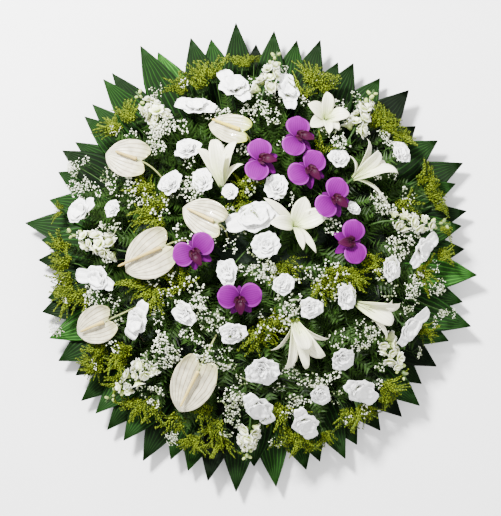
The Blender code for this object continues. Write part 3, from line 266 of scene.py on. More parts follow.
# Goldenrod sprays: each clump's middle, the end that its plume points to, and its plumes
GOLDENROD = (
    (((200, 84), (186, 66), 6), ((243, 62), (236, 44), 4), ((115, 130), (98, 122), 5),
     ((160, 206), (158, 190), 4), ((160, 225), (150, 238), 3), ((310, 80), (322, 62), 5)),
    (((66, 262), (60, 246), 4), ((72, 295), (60, 300), 5), ((158, 292), (164, 312), 4),
     ((98, 364), (86, 362), 5), ((122, 362), (116, 384), 3), ((140, 404), (136, 420), 3),
     ((182, 284), (186, 276), 2)),
    (((385, 128), (402, 118), 5), ((430, 192), (444, 186), 5), ((332, 272), (334, 292), 4),
     ((348, 275), (356, 286), 3), ((418, 275), (430, 280), 2), ((400, 205), (412, 208), 2)),
    (((264, 322), (262, 342), 4), ((196, 440), (190, 456), 4), ((216, 424), (224, 446), 3),
     ((284, 430), (278, 440), 2), ((298, 436), (294, 444), 2), ((385, 400), (392, 410), 3),
     ((362, 408), (356, 422), 3), ((326, 436), (318, 446), 2)),
)

# Further goldenrod clumps beside those: middle, end and plumes, for each of the four sprays
LOOSE_GOLDENROD = (
    (((180, 92), (170, 100), 4), ((215, 74), (212, 60), 3), ((254, 56), (250, 44), 3),
     ((130, 118), (136, 108), 3), ((246, 186), (246, 174), 3), ((242, 204), (238, 214), 3),
     ((148, 190), (144, 182), 3), ((57, 208), (48, 204), 2), ((302, 96), (296, 86), 2),
     ((322, 88), (330, 80), 3), ((150, 214), (140, 208), 3)),
    (((68, 280), (60, 284), 3), ((86, 298), (80, 306), 3), ((104, 350), (96, 346), 3),
     ((126, 350), (130, 340), 3), ((154, 404), (152, 416), 3), ((142, 286), (136, 292), 2),
     ((66, 246), (74, 240), 3), ((176, 276), (184, 268), 2), ((122, 380), (116, 388), 2)),
    (((398, 140), (408, 148), 4), ((372, 122), (368, 112), 3), ((420, 180), (416, 170), 3),
     ((440, 204), (450, 212), 3), ((317, 152), (318, 144), 1), ((446, 226), (454, 230), 2),
     ((320, 284), (322, 292), 3), ((286, 264), (286, 276), 3), ((442, 254), (450, 258), 2),
     ((388, 112), (392, 104), 3), ((366, 262), (372, 268), 2)),
    (((256, 334), (248, 340), 3), ((276, 320), (282, 314), 3), ((424, 330), (430, 336), 2),
     ((386, 384), (396, 386), 3), ((311, 446), (314, 454), 2), ((279, 408), (276, 418), 2),
     ((206, 408), (208, 398), 2), ((180, 418), (174, 424), 2), ((346, 412), (342, 422), 2),
     ((372, 418), (378, 424), 2), ((222, 440), (226, 452), 2)),
)
PLUME_DEPTH = 0.026
PLUME_FAN = 5.0
PLUME_REACH = 0.450
PLUME_SHORTEST = 0.02
PLUME_STEM = 0.0012
PLUME_BUDS = 44

# Gypsophila sprays: the middle of each cloud and how many florets it carries
GYPSOPHILA = (
    (((80, 168), 9), ((122, 182), 6), ((92, 192), 5), ((200, 196), 6), ((160, 152), 6),
     ((215, 125), 3), ((60, 328), 6), ((104, 296), 5)),
    (((264, 270), 8), ((170, 345), 10), ((208, 350), 6), ((232, 388), 6), ((236, 408), 5),
     ((205, 300), 4), ((176, 430), 4), ((285, 300), 5)),
    (((330, 142), 5), ((372, 206), 6), ((386, 244), 6), ((402, 290), 7), ((432, 290), 6),
     ((352, 330), 6), ((320, 372), 5), ((270, 118), 4), ((440, 310), 4)),
)
SPRIG_DEPTH = 0.030
SPRIG_REACH = 188.0
SPRIG_STEM = 0.0010
LOOSE_SPRIG_STEM = 0.0007
TWIG_BRANCHES = 5
TWIG_ENDS = 4

# Ferns: how far out their roots and their tips may be, and the leaflets of a frond
FROND_ROOTS = 0.405
FROND_REACH = 0.46
LEAFLET_PAIRS = 12

# The stage: each light's name, place, size and power, the place they point at, the sky, the camera
LIGHTS = (
    ("key_light", (-1.2, 1.8, 2.6), 0.5, 540.0), ("fill_light", (1.9, -1.2, 2.2), 2.0, 40.0),
    ("back_light", (0.6, 2.2, 1.6), 1.5, 20.0),
)
LIT_PLACE = Vector((0.0, 0.0, 0.1))
SKY_STRENGTH = 1.15
SENSOR_WIDTH = 36.0


# Places

def metres(pixels, height):
    """The real length of some pixels of the photograph, at a height over the floor."""
    return pixels * (EYE_HEIGHT - height) / PHOTO_FOCAL


def face_height(radius):
    """Height of the dome that the flower heads lie on."""
    return FACE_CROWN - radius * radius / FACE_FALL


def on_face(place, lift=0.0):
    """The point of the flower face seen at a place of the photograph, raised by lift."""
    height = FACE_CROWN
    x = y = 0.0
    for _ in range(SIGHT_STEPS):
        x = metres(place[0] - PHOTO_CENTRE[0], height)
        y = metres(PHOTO_CENTRE[1] - place[1], height)
        height = face_height(math.hypot(x, y)) + lift
    return Vector((x, y, height))


def outward(point):
    """The direction in which stems grow at a point."""
    return (point - FOCUS).normalized()


def level(angle, length=1.0, height=0.0):
    """A vector of some length in the level plane, raised by height."""
    return Vector((math.cos(angle) * length, math.sin(angle) * length, height))


def third_turn(third, rand):
    """A heading somewhere in one third of the disc."""
    return math.radians(THIRDS_START + THIRD * third + rand.uniform(0.0, THIRD))


def pad_exit(direction):
    """Where a ray from the stems' focus leaves the foam pad."""
    reach = PAD_SEARCH_START
    while True:
        point = FOCUS + direction * reach
        radius = math.hypot(point.x, point.y)
        top = PAD_WALL_TOP + (PAD_CROWN - PAD_WALL_TOP) * (1.0 - (radius / PAD_RADIUS) ** 2)
        if radius > PAD_RADIUS or point.z > top:
            return point
        reach += PAD_SEARCH_STEP


def loose_foot(direction):
    """Where a loose stem is stuck into the pad, above the palm leaves."""
    foot = pad_exit(direction) - direction * LOOSE_DEPTH
    foot.z = max(foot.z, LOOSE_FLOOR)
    return foot


def bed_point(place, share):
    """A point between the pad and the flower face, on the ray of a place on the face."""
    top = Vector((place.x, place.y, face_height(math.hypot(place.x, place.y))))
    return pad_exit(outward(top)).lerp(top, share)


def node_points(node):
    """The corners of a frame node's mesh."""
    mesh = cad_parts[node].data
    places = np.empty(len(mesh.vertices) * 3)
    mesh.vertices.foreach_get("co", places)
    return places.reshape(-1, 3)


def rise_of(node, points, up):
    """How far the frame's flower was raised along its stem from its place in the photograph."""
    corners = node_points(node)

    def miss(lift):
        total = 0.0
        for point in points:
            target = np.array(point + up * lift)
            total += float(np.sqrt(((corners - target) ** 2).sum(axis=1).min()))
        return total

    return min(SEAT_LIFTS, key=miss)


def peg_of(node):
    """The bottom of a frame node's peg in the pad, and its end in clear air."""
    corners = node_points(node)
    reach = np.sqrt(((corners - np.array(FOCUS)) ** 2).sum(axis=1))
    bottom = Vector(corners[reach < reach.min() + PEG_END].mean(axis=0))
    return bottom, bottom + outward(bottom) * (PEG_DEPTH + PEG_REACH)


def turned(origin, up, ahead, size=1.0):
    """A matrix that puts a template with its Z along up and its Y towards ahead."""
    up = up.normalized()
    ahead = (ahead - up * ahead.dot(up)).normalized()
    turn = Matrix((ahead.cross(up), ahead, up)).transposed().to_4x4()
    return Matrix.Translation(origin) @ turn @ Matrix.Scale(size, 4)


def grown(origin, way, up, size=1.0):
    """A matrix that puts a template with its Y along its way and its Z as near to up as it can."""
    way = way.normalized()
    up = (up - way * up.dot(way)).normalized()
    turn = Matrix((way.cross(up), way, up)).transposed().to_4x4()
    return Matrix.Translation(origin) @ turn @ Matrix.Scale(size, 4)


def petal_seat(turn, start, height, tilt, width, length):
    """Where a petal sits on a bloom that faces +Z: sized, tilted up, moved out and turned round."""
    place = Matrix.Translation((0.0, start, height)) @ Matrix.Rotation(tilt, 4, "X")
    return Matrix.Rotation(turn, 4, "Z") @ place @ Matrix.Diagonal((width, length, length, 1.0))


def bezier(a, b, c, d, u):
    """The point at share u of a curve from a to d that leaves towards b and comes in from c."""
    w = 1.0 - u
    return a * w ** 3 + b * (3 * w * w * u) + c * (3 * w * u * u) + d * u ** 3


# Modelling by hand

def clear_choice():
    """Goes back to object mode with nothing selected."""
    if bpy.context.mode != "OBJECT":
        bpy.ops.object.mode_set(mode="OBJECT")
    bpy.ops.object.select_all(action="DESELECT")


def choose(piece):
    """Selects one piece alone, and makes it the active one."""
    clear_choice()
    piece.select_set(True)
    bpy.context.view_layer.objects.active = piece


def edit():
    """Goes into edit mode on the active piece, picking corners."""
    bpy.ops.object.mode_set(mode="EDIT")
    bpy.ops.mesh.select_mode(type="VERT")


def end_edit(smooth=False):
    """Goes back to object mode, and smooths the piece where asked."""
    bpy.ops.object.mode_set(mode="OBJECT")
    if smooth:
        bpy.ops.object.shade_smooth()


def new_shape(maker, finish, **values):
    """A new shape from one of the primitives, with its place applied and its finish on it."""
    clear_choice()
    maker(**values)
    bpy.ops.object.transform_apply()
    shape = bpy.context.object
    shape.data.materials.append(finish)
    return shape


def new_blade(columns, rows, finish):
    """A flat blade: one unit long from the origin along +Y, one unit wide, facing +Z."""
    return new_shape(bpy.ops.mesh.primitive_grid_add, finish, x_subdivisions=columns,
                     y_subdivisions=rows, size=1.0, location=(0.0, 0.5, 0.0))


def pick(piece, chosen):
    """Selects the corners of a mesh in edit mode that pass a test."""
    mesh = bmesh.from_edit_mesh(piece.data)
    for vertex in mesh.verts:
        vertex.select_set(bool(chosen(vertex)))
    mesh.select_flush_mode()
    bmesh.update_edit_mesh(piece.data)


def nudge(piece, chosen, offset):
    """Moves the chosen corners of a mesh in edit mode."""
    pick(piece, chosen)
    bpy.ops.transform.translate(value=offset)


def resize(value):
    """Resizes what is selected about the origin."""
    bpy.ops.transform.resize(value=value, center_override=(0.0, 0.0, 0.0))


def roughen(offset, seed):
    """Goes into edit mode on a small shape, and moves each of its corners a little its own way."""
    edit()
    bpy.ops.mesh.select_all(action="SELECT")
    bpy.ops.transform.vertex_random(offset=offset, seed=seed)


def shape_blade(blade, rows, profile, pleat=0.0, columns=0):
    """Shapes a blade row by row: (width, lift, cup) from its root to its tip, after any pleats."""
    edit()
    if pleat:
        nudge(blade, lambda corner: round((corner.co.x + 0.5) * columns) % 2 == 1, (0.0, 0.0, pleat))
    for index, (width, lift, cup) in enumerate(profile):
        along = index / rows
        pick(blade, lambda corner: abs(corner.co.y - along) < ROW_REACH / rows)
        resize((width, 1.0, 1.0))
        bpy.ops.transform.translate(value=(0.0, 0.0, lift))
        for share, part in CUP_STEPS if cup else ():
            nudge(blade, lambda corner: abs(corner.co.y - along) < ROW_REACH / rows
                  and abs(corner.co.x) > share * width, (0.0, 0.0, cup * part))
    end_edit()


def round_end(blade, width, depth):
    """Rounds the far end of a blade by drawing its corners back."""
    edit()
    for share in (0.44, 0.30):
        nudge(blade, lambda corner: corner.co.y > 0.97 - depth and abs(corner.co.x) > share * width,
              (0.0, -depth / 2, 0.0))
    end_edit()


def ruffle(blade, columns, width, start, height):
    """Waves the outer part of a blade, crest by crest."""
    edit()
    for crest, sign in ((0, 1.0), (2, -1.0)):
        nudge(blade, lambda corner: corner.co.y > start
              and round((corner.co.x / width + 0.5) * columns) % 4 == crest, (0.0, 0.0, sign * height))
    end_edit()


def finish_blade(blade, thickness, rounding=0, offset=0.0):
    """Gives a blade its roundness and its thickness, applies both and smooths it."""
    choose(blade)
    if rounding:
        smoother = blade.modifiers.new("rounding", "SUBSURF")
        smoother.levels = rounding
        smoother.render_levels = rounding
        bpy.ops.object.modifier_apply(modifier="rounding")
    wall = blade.modifiers.new("thickness", "SOLIDIFY")
    wall.thickness = thickness
    wall.offset = offset
    bpy.ops.object.modifier_apply(modifier="thickness")
    bpy.ops.object.shade_smooth()
    return blade


def mark_tint(mesh, tint):
    """Gives a mesh its share of colour variation, on top of what its parts already have."""
    values = np.zeros(len(mesh.vertices), np.float32)
    mark = mesh.attributes.get("tint")
    if mark:
        mark.data.foreach_get("value", values)
        values -= MIDDLE_TINT
    else:
        mark = mesh.attributes.new("tint", "FLOAT", "POINT")
    mark.data.foreach_set("value", values + tint)


def copy_of(template, matrix, tint=MIDDLE_TINT):
    """A copy of a template with its own mesh, put in place, with its share of colour variation."""
    piece = template.copy()
    piece.data = template.data.copy()
    piece.data.transform(matrix)
    mark_tint(piece.data, tint)
    bpy.context.scene.collection.objects.link(piece)
    return piece


def joined(name, pieces):
    """Joins pieces into one, under the first one's material slots."""
    clear_choice()
    for piece in pieces:
        piece.select_set(True)
    whole = pieces[0]
    bpy.context.view_layer.objects.active = whole
    if len(pieces) > 1:
        bpy.ops.object.join()
    whole.name = name
    whole.data.name = name
    return whole


def settle(name, pieces, slot, *nodes):
    """Joins the pieces of one finished body, and lets it stand for its node of the frame."""
    whole = joined(name, pieces)
    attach(whole, "root")
    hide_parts(*nodes)


def discard(*templates):
    """Removes the models that the finished pieces were copied from."""
    for template in templates:
        bpy.data.objects.remove(template, do_unlink=True)


def stem(points, radius, material, tint=MIDDLE_TINT):
    """A stem along a line of points, as a closed mesh."""
    curve = bpy.data.curves.new("stem", "CURVE")
    curve.dimensions = "3D"
    curve.bevel_depth = radius
    curve.bevel_resolution = 1
    curve.use_fill_caps = True
    spline = curve.splines.new("POLY")
    spline.points.add(len(points) - 1)
    for corner, place in zip(spline.points, points):
        corner.co = (*place, 1.0)
    drawn = bpy.data.objects.new("stem", curve)
    bpy.context.scene.collection.objects.link(drawn)
    choose(drawn)
    bpy.ops.object.convert(target="MESH")
    piece = bpy.context.object
    piece.data.materials.clear()
    piece.data.materials.append(material)
    mark_tint(piece.data, tint)
    return piece


def stem_to(node, goal, up, radius, material=None):
    """A stem from the node's peg in the pad to a flower, leaving the pad straight."""
    bottom, foot = peg_of(node)
    reach = (goal - foot).length * STEM_PULL
    leave = foot + outward(foot) * reach
    arrive = goal - up * reach
    points = [bezier(foot, leave, arrive, goal, k / STEM_STEPS) for k in range(STEM_STEPS + 1)]
    return stem([bottom] + points, radius, material or stem_material())


def loose_stem(heart, radius):
    """A straight stem from the pad to a sprig that has no peg of its own."""
    foot = loose_foot(outward(heart))
    return stem([foot, foot.lerp(heart, 0.5), heart], radius, stem_material())


# Materials

def darker(colour, share):
    """A colour whose channels are all multiplied by a share."""
    return tuple(channel * share for channel in colour)


def shades(colour, *stops):
    """A ramp of one colour: (position, share of the colour's strength) at each stop."""
    return tuple((position, darker(colour, share)) for position, share in stops)


def add_node(tree, kind, sockets=None, **values):
    """Adds a shader node with its settings; a socket takes a number, a colour or a node's output."""
    node = tree.nodes.new(kind)
    for key, value in values.items():
        setattr(node, key, value)
    for key, value in (sockets or {}).items():
        if isinstance(value, bpy.types.NodeSocket):
            tree.links.new(value, node.inputs[key])
        else:
            node.inputs[key].default_value = value
    return node


def reckon(tree, operation, *terms):
    """The result of a Math node with numbers and other nodes' outputs as its terms."""
    return add_node(tree, "ShaderNodeMath", dict(enumerate(terms)), operation=operation).outputs[0]


def mapped(tree, value, low, high=1.0):
    """A value's share of the way from low to high."""
    sockets = {"Value": value, "From Min": low, "From Max": high}
    return add_node(tree, "ShaderNodeMapRange", sockets).outputs["Result"]


def mixed(tree, share, first, second, blend_type="MIX"):
    """The colour between two others."""
    sockets = {"Factor": share, "A": first, "B": second}
    node = add_node(tree, "ShaderNodeMix", data_type="RGBA", blend_type=blend_type, sockets=sockets)
    return node.outputs["Result"]


def noise(tree, place, scale, detail=2.0):
    """A noise of one size of grain."""
    sockets = {"Vector": place, "Scale": scale, "Detail": detail}
    return add_node(tree, "ShaderNodeTexNoise", sockets).outputs["Fac"]


def new_group(name, takes, gives):
    """A new shader node group with its named sockets, what it takes and what it gives."""
    group = bpy.data.node_groups.new(name, "ShaderNodeTree")
    for socket in takes:
        kind = "NodeSocketVector" if socket == "Place" else "NodeSocketFloat"
        group.interface.new_socket(socket, in_out="INPUT", socket_type=kind)
    for socket in gives:
        group.interface.new_socket(socket, in_out="OUTPUT", socket_type="NodeSocketFloat")
    return group, group.nodes.new("NodeGroupInput").outputs, group.nodes.new("NodeGroupOutput").inputs


def skin_group():
    """Veins along a blade and mottling over it: the shared skin of petals and leaves."""
    found = bpy.data.node_groups.get("plant_skin")
    if found:
        return found
    group, takes, gives = new_group(
        "plant_skin", ("Across", "Along", "Vein Count", "Vein Spread", "Mottle Scale", "Place"),
        ("Vein", "Mottle", "Height"))
    centred = reckon(group, "SUBTRACT", takes["Across"], 0.5)
    fan = reckon(group, "MULTIPLY_ADD", takes["Along"], takes["Vein Spread"], 1.0)
    spread = reckon(group, "MULTIPLY", centred, fan)
    drift = noise(group, takes["Place"], VEIN_DRIFT_SCALE)
    wobble = reckon(group, "MULTIPLY_ADD", drift, VEIN_DRIFT, spread)
    count = reckon(group, "MULTIPLY", wobble, takes["Vein Count"])
    wave = reckon(group, "COSINE", reckon(group, "MULTIPLY", count, math.tau))
    crest = mapped(group, wave, VEIN_EDGE)
    mottle = noise(group, takes["Place"], takes["Mottle Scale"], 3.0)
    height = reckon(group, "MULTIPLY_ADD", mottle, MOTTLE_HEIGHT, crest)
    for name, value in (("Vein", crest), ("Mottle", mottle), ("Height", height)):
        group.links.new(value, gives[name])
    return group


def grain_group():
    """Grains of one size, and how light they and a part's tint make each place."""
    found = bpy.data.node_groups.get("plant_grain")
    if found:
        return found
    group, takes, gives = new_group("plant_grain", ("Place", "Scale", "Tint"), ("Grain", "Light"))
    grain = noise(group, takes["Place"], takes["Scale"], 4.0)
    light = mapped(group, reckon(group, "ADD", grain, takes["Tint"]), *GRAIN_RANGE)
    group.links.new(grain, gives["Grain"])
    group.links.new(light, gives["Light"])
    return group


def new_material(name, shine):
    """A new material, with its node tree, its shader, its Object coordinates and its tint."""
    material = bpy.data.materials.new(name)
    material.use_nodes = True
    tree = material.node_tree
    shader = tree.nodes["Principled BSDF"]
    shader.inputs["Specular IOR Level"].default_value = shine
    place = add_node(tree, "ShaderNodeTexCoord").outputs["Object"]
    tint = add_node(tree, "ShaderNodeAttribute", attribute_name="tint").outputs["Fac"]
    return material, tree, shader, place, tint


def dress(tree, shader, colour, grain, gloss, height, bump):
    """Gives a shader its colour, its uneven roughness and its relief."""
    rough = reckon(tree, "MULTIPLY_ADD", grain, *gloss)
    relief = add_node(tree, "ShaderNodeBump",
                      {"Strength": bump, "Distance": RELIEF_DEPTH, "Height": height})
    tree.links.new(colour, shader.inputs["Base Color"])
    tree.links.new(rough, shader.inputs["Roughness"])
    tree.links.new(relief.outputs["Normal"], shader.inputs["Normal"])


def plant_material(name, ramp, vein, roughness, vein_count=9.0, vein_spread=0.0, vein_strength=0.35,
                   mottle_scale=90.0, mottle=0.25, bump=0.25, sheen=0.0, coat=0.0, rim=None, shine=0.5):
    """A petal's or leaf's finish: a ramp of colours from root to tip, veins, mottling, a rim colour."""
    material, tree, shader, place, tint = new_material(name, shine)
    chart = add_node(tree, "ShaderNodeUVMap", uv_map="UVMap").outputs["UV"]
    parts = add_node(tree, "ShaderNodeSeparateXYZ", {"Vector": chart}).outputs
    skin = add_node(tree, "ShaderNodeGroup", node_tree=skin_group(), sockets={
        "Across": parts["X"], "Along": parts["Y"], "Place": place, "Vein Count": vein_count,
        "Vein Spread": vein_spread, "Mottle Scale": mottle_scale}).outputs
    colours = add_node(tree, "ShaderNodeValToRGB", {"Fac": parts["Y"]})
    stops = colours.color_ramp.elements
    while len(stops) < len(ramp):
        stops.new(0.5)
    for stop, (position, colour) in zip(stops, ramp):
        stop.position = position
        stop.color = (*colour, 1.0)
    surface = colours.outputs["Color"]
    if rim:
        side = reckon(tree, "ABSOLUTE", reckon(tree, "SUBTRACT", parts["X"], 0.5))
        surface = mixed(tree, mapped(tree, side, *RIM_RANGE), surface, (*rim, 1.0))
    strength = reckon(tree, "MULTIPLY", skin["Vein"], vein_strength)
    veined = mixed(tree, strength, surface, (*vein, 1.0))
    shade = reckon(tree, "MULTIPLY_ADD", skin["Mottle"], mottle, 1.0 - mottle * MOTTLE_MIDDLE)
    light = reckon(tree, "MULTIPLY_ADD", tint, *TINT_RANGE)
    dimmed = mixed(tree, 1.0, veined, reckon(tree, "MULTIPLY", shade, light), "MULTIPLY")
    dress(tree, shader, dimmed, skin["Mottle"], (0.25, roughness - 0.12), skin["Height"], bump)
    shader.inputs["Sheen Weight"].default_value = sheen
    shader.inputs["Coat Weight"].default_value = coat
    return material


def solid_material(name, dark, light, roughness, scale, bump=0.3, stretch=(1.0, 1.0, 1.0), shine=0.5):
    """A finish that needs no blade: two colours in grains of one size, with their relief."""
    material, tree, shader, place, tint = new_material(name, shine)
    spot = add_node(tree, "ShaderNodeMapping", {"Vector": place, "Scale": stretch}).outputs["Vector"]
    grain = add_node(tree, "ShaderNodeGroup", node_tree=grain_group(),
                     sockets={"Place": spot, "Scale": scale, "Tint": tint}).outputs
    colour = mixed(tree, grain["Light"], (*dark, 1.0), (*light, 1.0))
    dress(tree, shader, colour, grain["Grain"], (0.2, roughness - 0.1), grain["Grain"], bump)
    return material


def stem_material():
    """The finish that all green stems share."""
    return bpy.data.materials.get("green_stem") or solid_material(
        "green_stem", (0.006, 0.018, 0.003), (0.035, 0.08, 0.014), 0.5, 120.0, shine=0.2)


# Settings

def length_setting(name, description, default, low, high):
    """A setting for a length in metres."""
    return bpy.props.FloatProperty(
        name=name, description=description, default=default, min=low, max=high, unit="LENGTH")


def colour_setting(name, description, default):
    """A setting for a colour."""
    return bpy.props.FloatVectorProperty(
        name=name, description=description, subtype="COLOR", size=3, default=default, min=0.0, max=1.0)


class WreathSizes(bpy.types.PropertyGroup):
    """Sizes that change how full and how fine the wreath is."""

    seed: bpy.props.IntProperty(
        name="Seed", description="Start of the arrangement's chance", default=7, min=0)
    pleat_depth: length_setting("Pleat Depth", "Depth of a palm leaf's pleats", 0.0045, 0.0, 0.01)
    petal_thickness: length_setting(
        "Petal Thickness", "Thickness of petals and leaves", 0.0006, 0.0002, 0.002)
    plume_length: length_setting("Plume Length", "Length of a goldenrod plume", 0.068, 0.02, 0.09)
    plume_share: bpy.props.IntProperty(
        name="Plumes", description="Fine plumes for each large one of the frame", default=5, min=1, max=8)
    sprig_length: length_setting("Sprig Length", "Length of a gypsophila sprig", 0.044, 0.02, 0.08)
    frond_length: length_setting("Frond Length", "Length of a fern frond", 0.120, 0.05, 0.2)
    frond_count: bpy.props.IntProperty(
        name="Fronds", description="Fronds in each fern bunch", default=200, min=6, max=300)
    sprig_count: bpy.props.IntProperty(
        name="Loose Sprigs", description="Gypsophila sprigs between the blooms of each third",
        default=56, min=0, max=120)


class WreathColours(bpy.types.PropertyGroup):
    """Colours of the blooms and leaves."""

    palm: colour_setting("Palm", "Palm leaves", (0.0030, 0.0125, 0.0014))
    spathe: colour_setting("Spathe", "Anthurium spathes", (0.70, 0.65, 0.46))
    orchid: colour_setting("Orchid", "Orchid petals", (0.116, 0.0002, 0.128))
    lily: colour_setting("Lily", "Lily tepals", (0.82, 0.80, 0.60))
    white: colour_setting("White", "Lisianthus and spike petals", (0.96, 0.96, 0.945))
    goldenrod: colour_setting("Goldenrod", "Goldenrod buds", (0.180, 0.235, 0.012))
    # The fern colour is set darker than the fronds' own green, as painted shade in the gaps between the
    # blooms.
    fern: colour_setting("Fern", "Fern fronds", (0.0090, 0.0220, 0.0030))


# Operators

class WREATH_OT_base(bpy.types.Operator):
    """Give the backing board and the foam pad their finishes"""

    bl_idname = "wreath.base"
    bl_label = "Board and Pad"

    def execute(self, context):
        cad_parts["backing_board"].data.materials[0] = solid_material(
            "plywood", (0.20, 0.12, 0.06), (0.46, 0.33, 0.19), 0.75, 14.0, 0.2, (1.0, 9.0, 1.0))
        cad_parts["foam_pad"].data.materials[0] = solid_material(
            "wet_foam", (0.003, 0.010, 0.003), (0.012, 0.035, 0.010), 0.95, 420.0, 0.9)
        return {"FINISHED"}


class WREATH_OT_palm(bpy.types.Operator):
    """Build the two layers of pleated palm leaves"""

    bl_idname = "wreath.palm"
    bl_label = "Palm Collar"

    def execute(self, context):
        sizes = context.scene.wreath_sizes
        colour = tuple(context.scene.wreath_colours.palm)
        finish = plant_material(
            "palm_leaf", shades(colour, (0.0, 0.25), (0.45, 0.8), (1.0, 1.3)), darker(colour, 4.6), 0.60,
            vein_count=7.0, vein_strength=0.70, mottle_scale=30.0, mottle=0.9, bump=0.5, shine=0.08)
        rows, columns = 9, 14
        leaf = new_blade(columns, rows, finish)
        shape_blade(leaf, rows, (
            (0.60, 0.000, 0.0), (0.80, 0.004, 0.0), (0.94, 0.008, 0.0), (1.0, 0.010, 0.01),
            (0.99, 0.012, 0.01), (0.91, 0.010, 0.01), (0.76, 0.008, 0.0), (0.54, 0.004, 0.0),
            (0.28, -0.002, 0.0), (0.02, -0.010, 0.0)), sizes.pleat_depth / LEAF_DEPTH, columns)
        finish_blade(leaf, sizes.petal_thickness / LEAF_DEPTH)
        tips = sorted(self.leaf_direction(tip) for tip in LEAF_TIPS)
        tints = {self.leaf_direction(tip): SILVER_TINT for tip in SILVER_LEAVES}
        tints.update({self.leaf_direction(tip): BLACK_TINT for tip in BLACK_LEAVES})
        rand = random.Random(sizes.seed)
        for layer, (label, base, slope) in enumerate(LEAF_LAYERS):
            chosen = tips[layer::2]
            share = len(chosen) // LEAF_SECTORS
            for sector in range(LEAF_SECTORS):
                last = (sector + 1) * share if sector < LEAF_SECTORS - 1 else len(chosen)
                pieces = [self.leaf_copy(leaf, chosen, index, base, slope, tints, rand)
                          for index in range(sector * share, last)]
                settle(f"palm_fan_{label}_{sector + 1}", pieces, "palm_leaf",
                       f"palm_leaves_{label}_{sector + 1}")
        discard(leaf)
        return {"FINISHED"}

    def leaf_direction(self, tip):
        """The heading and the reach of a leaf's tip from the middle of the wreath."""
        x = metres(tip[0] - PHOTO_CENTRE[0], LEAF_TIP_HEIGHT)
        y = metres(PHOTO_CENTRE[1] - tip[1], LEAF_TIP_HEIGHT)
        return math.atan2(y, x), math.hypot(x, y)

    def leaf_copy(self, leaf, chosen, index, base, slope, tints, rand):
        """One leaf from its stretch of the board's rim to its tip."""
        count = len(chosen)
        angle, reach = chosen[index]
        before = chosen[index - 1][0] - (math.tau if index == 0 else 0.0)
        after = chosen[(index + 1) % count][0] + (math.tau if index == count - 1 else 0.0)
        middle = (before + 2.0 * angle + after) / 4.0
        width = min((after - before) / 2.0, LEAF_WIDEST) * LEAF_WIDTH
        root = level(middle, LEAF_ROOT_RADIUS, base)
        rise = (reach - LEAF_ROOT_RADIUS - LEAF_GRIP) * math.tan(math.radians(slope))
        ahead = level(angle, reach, base + rise) - root
        top = Vector((0.0, 0.0, 1.0))
        up = top + ahead.cross(top) * rand.uniform(-LEAF_ROLL, LEAF_ROLL)
        matrix = turned(root, up - ahead * up.dot(ahead) / ahead.length_squared, ahead)
        tint = rand.uniform(*LEAF_TINTS)
        size = Matrix.Diagonal((width, ahead.length, LEAF_DEPTH, 1.0))
        return copy_of(leaf, matrix @ size, tints.get(chosen[index], tint))


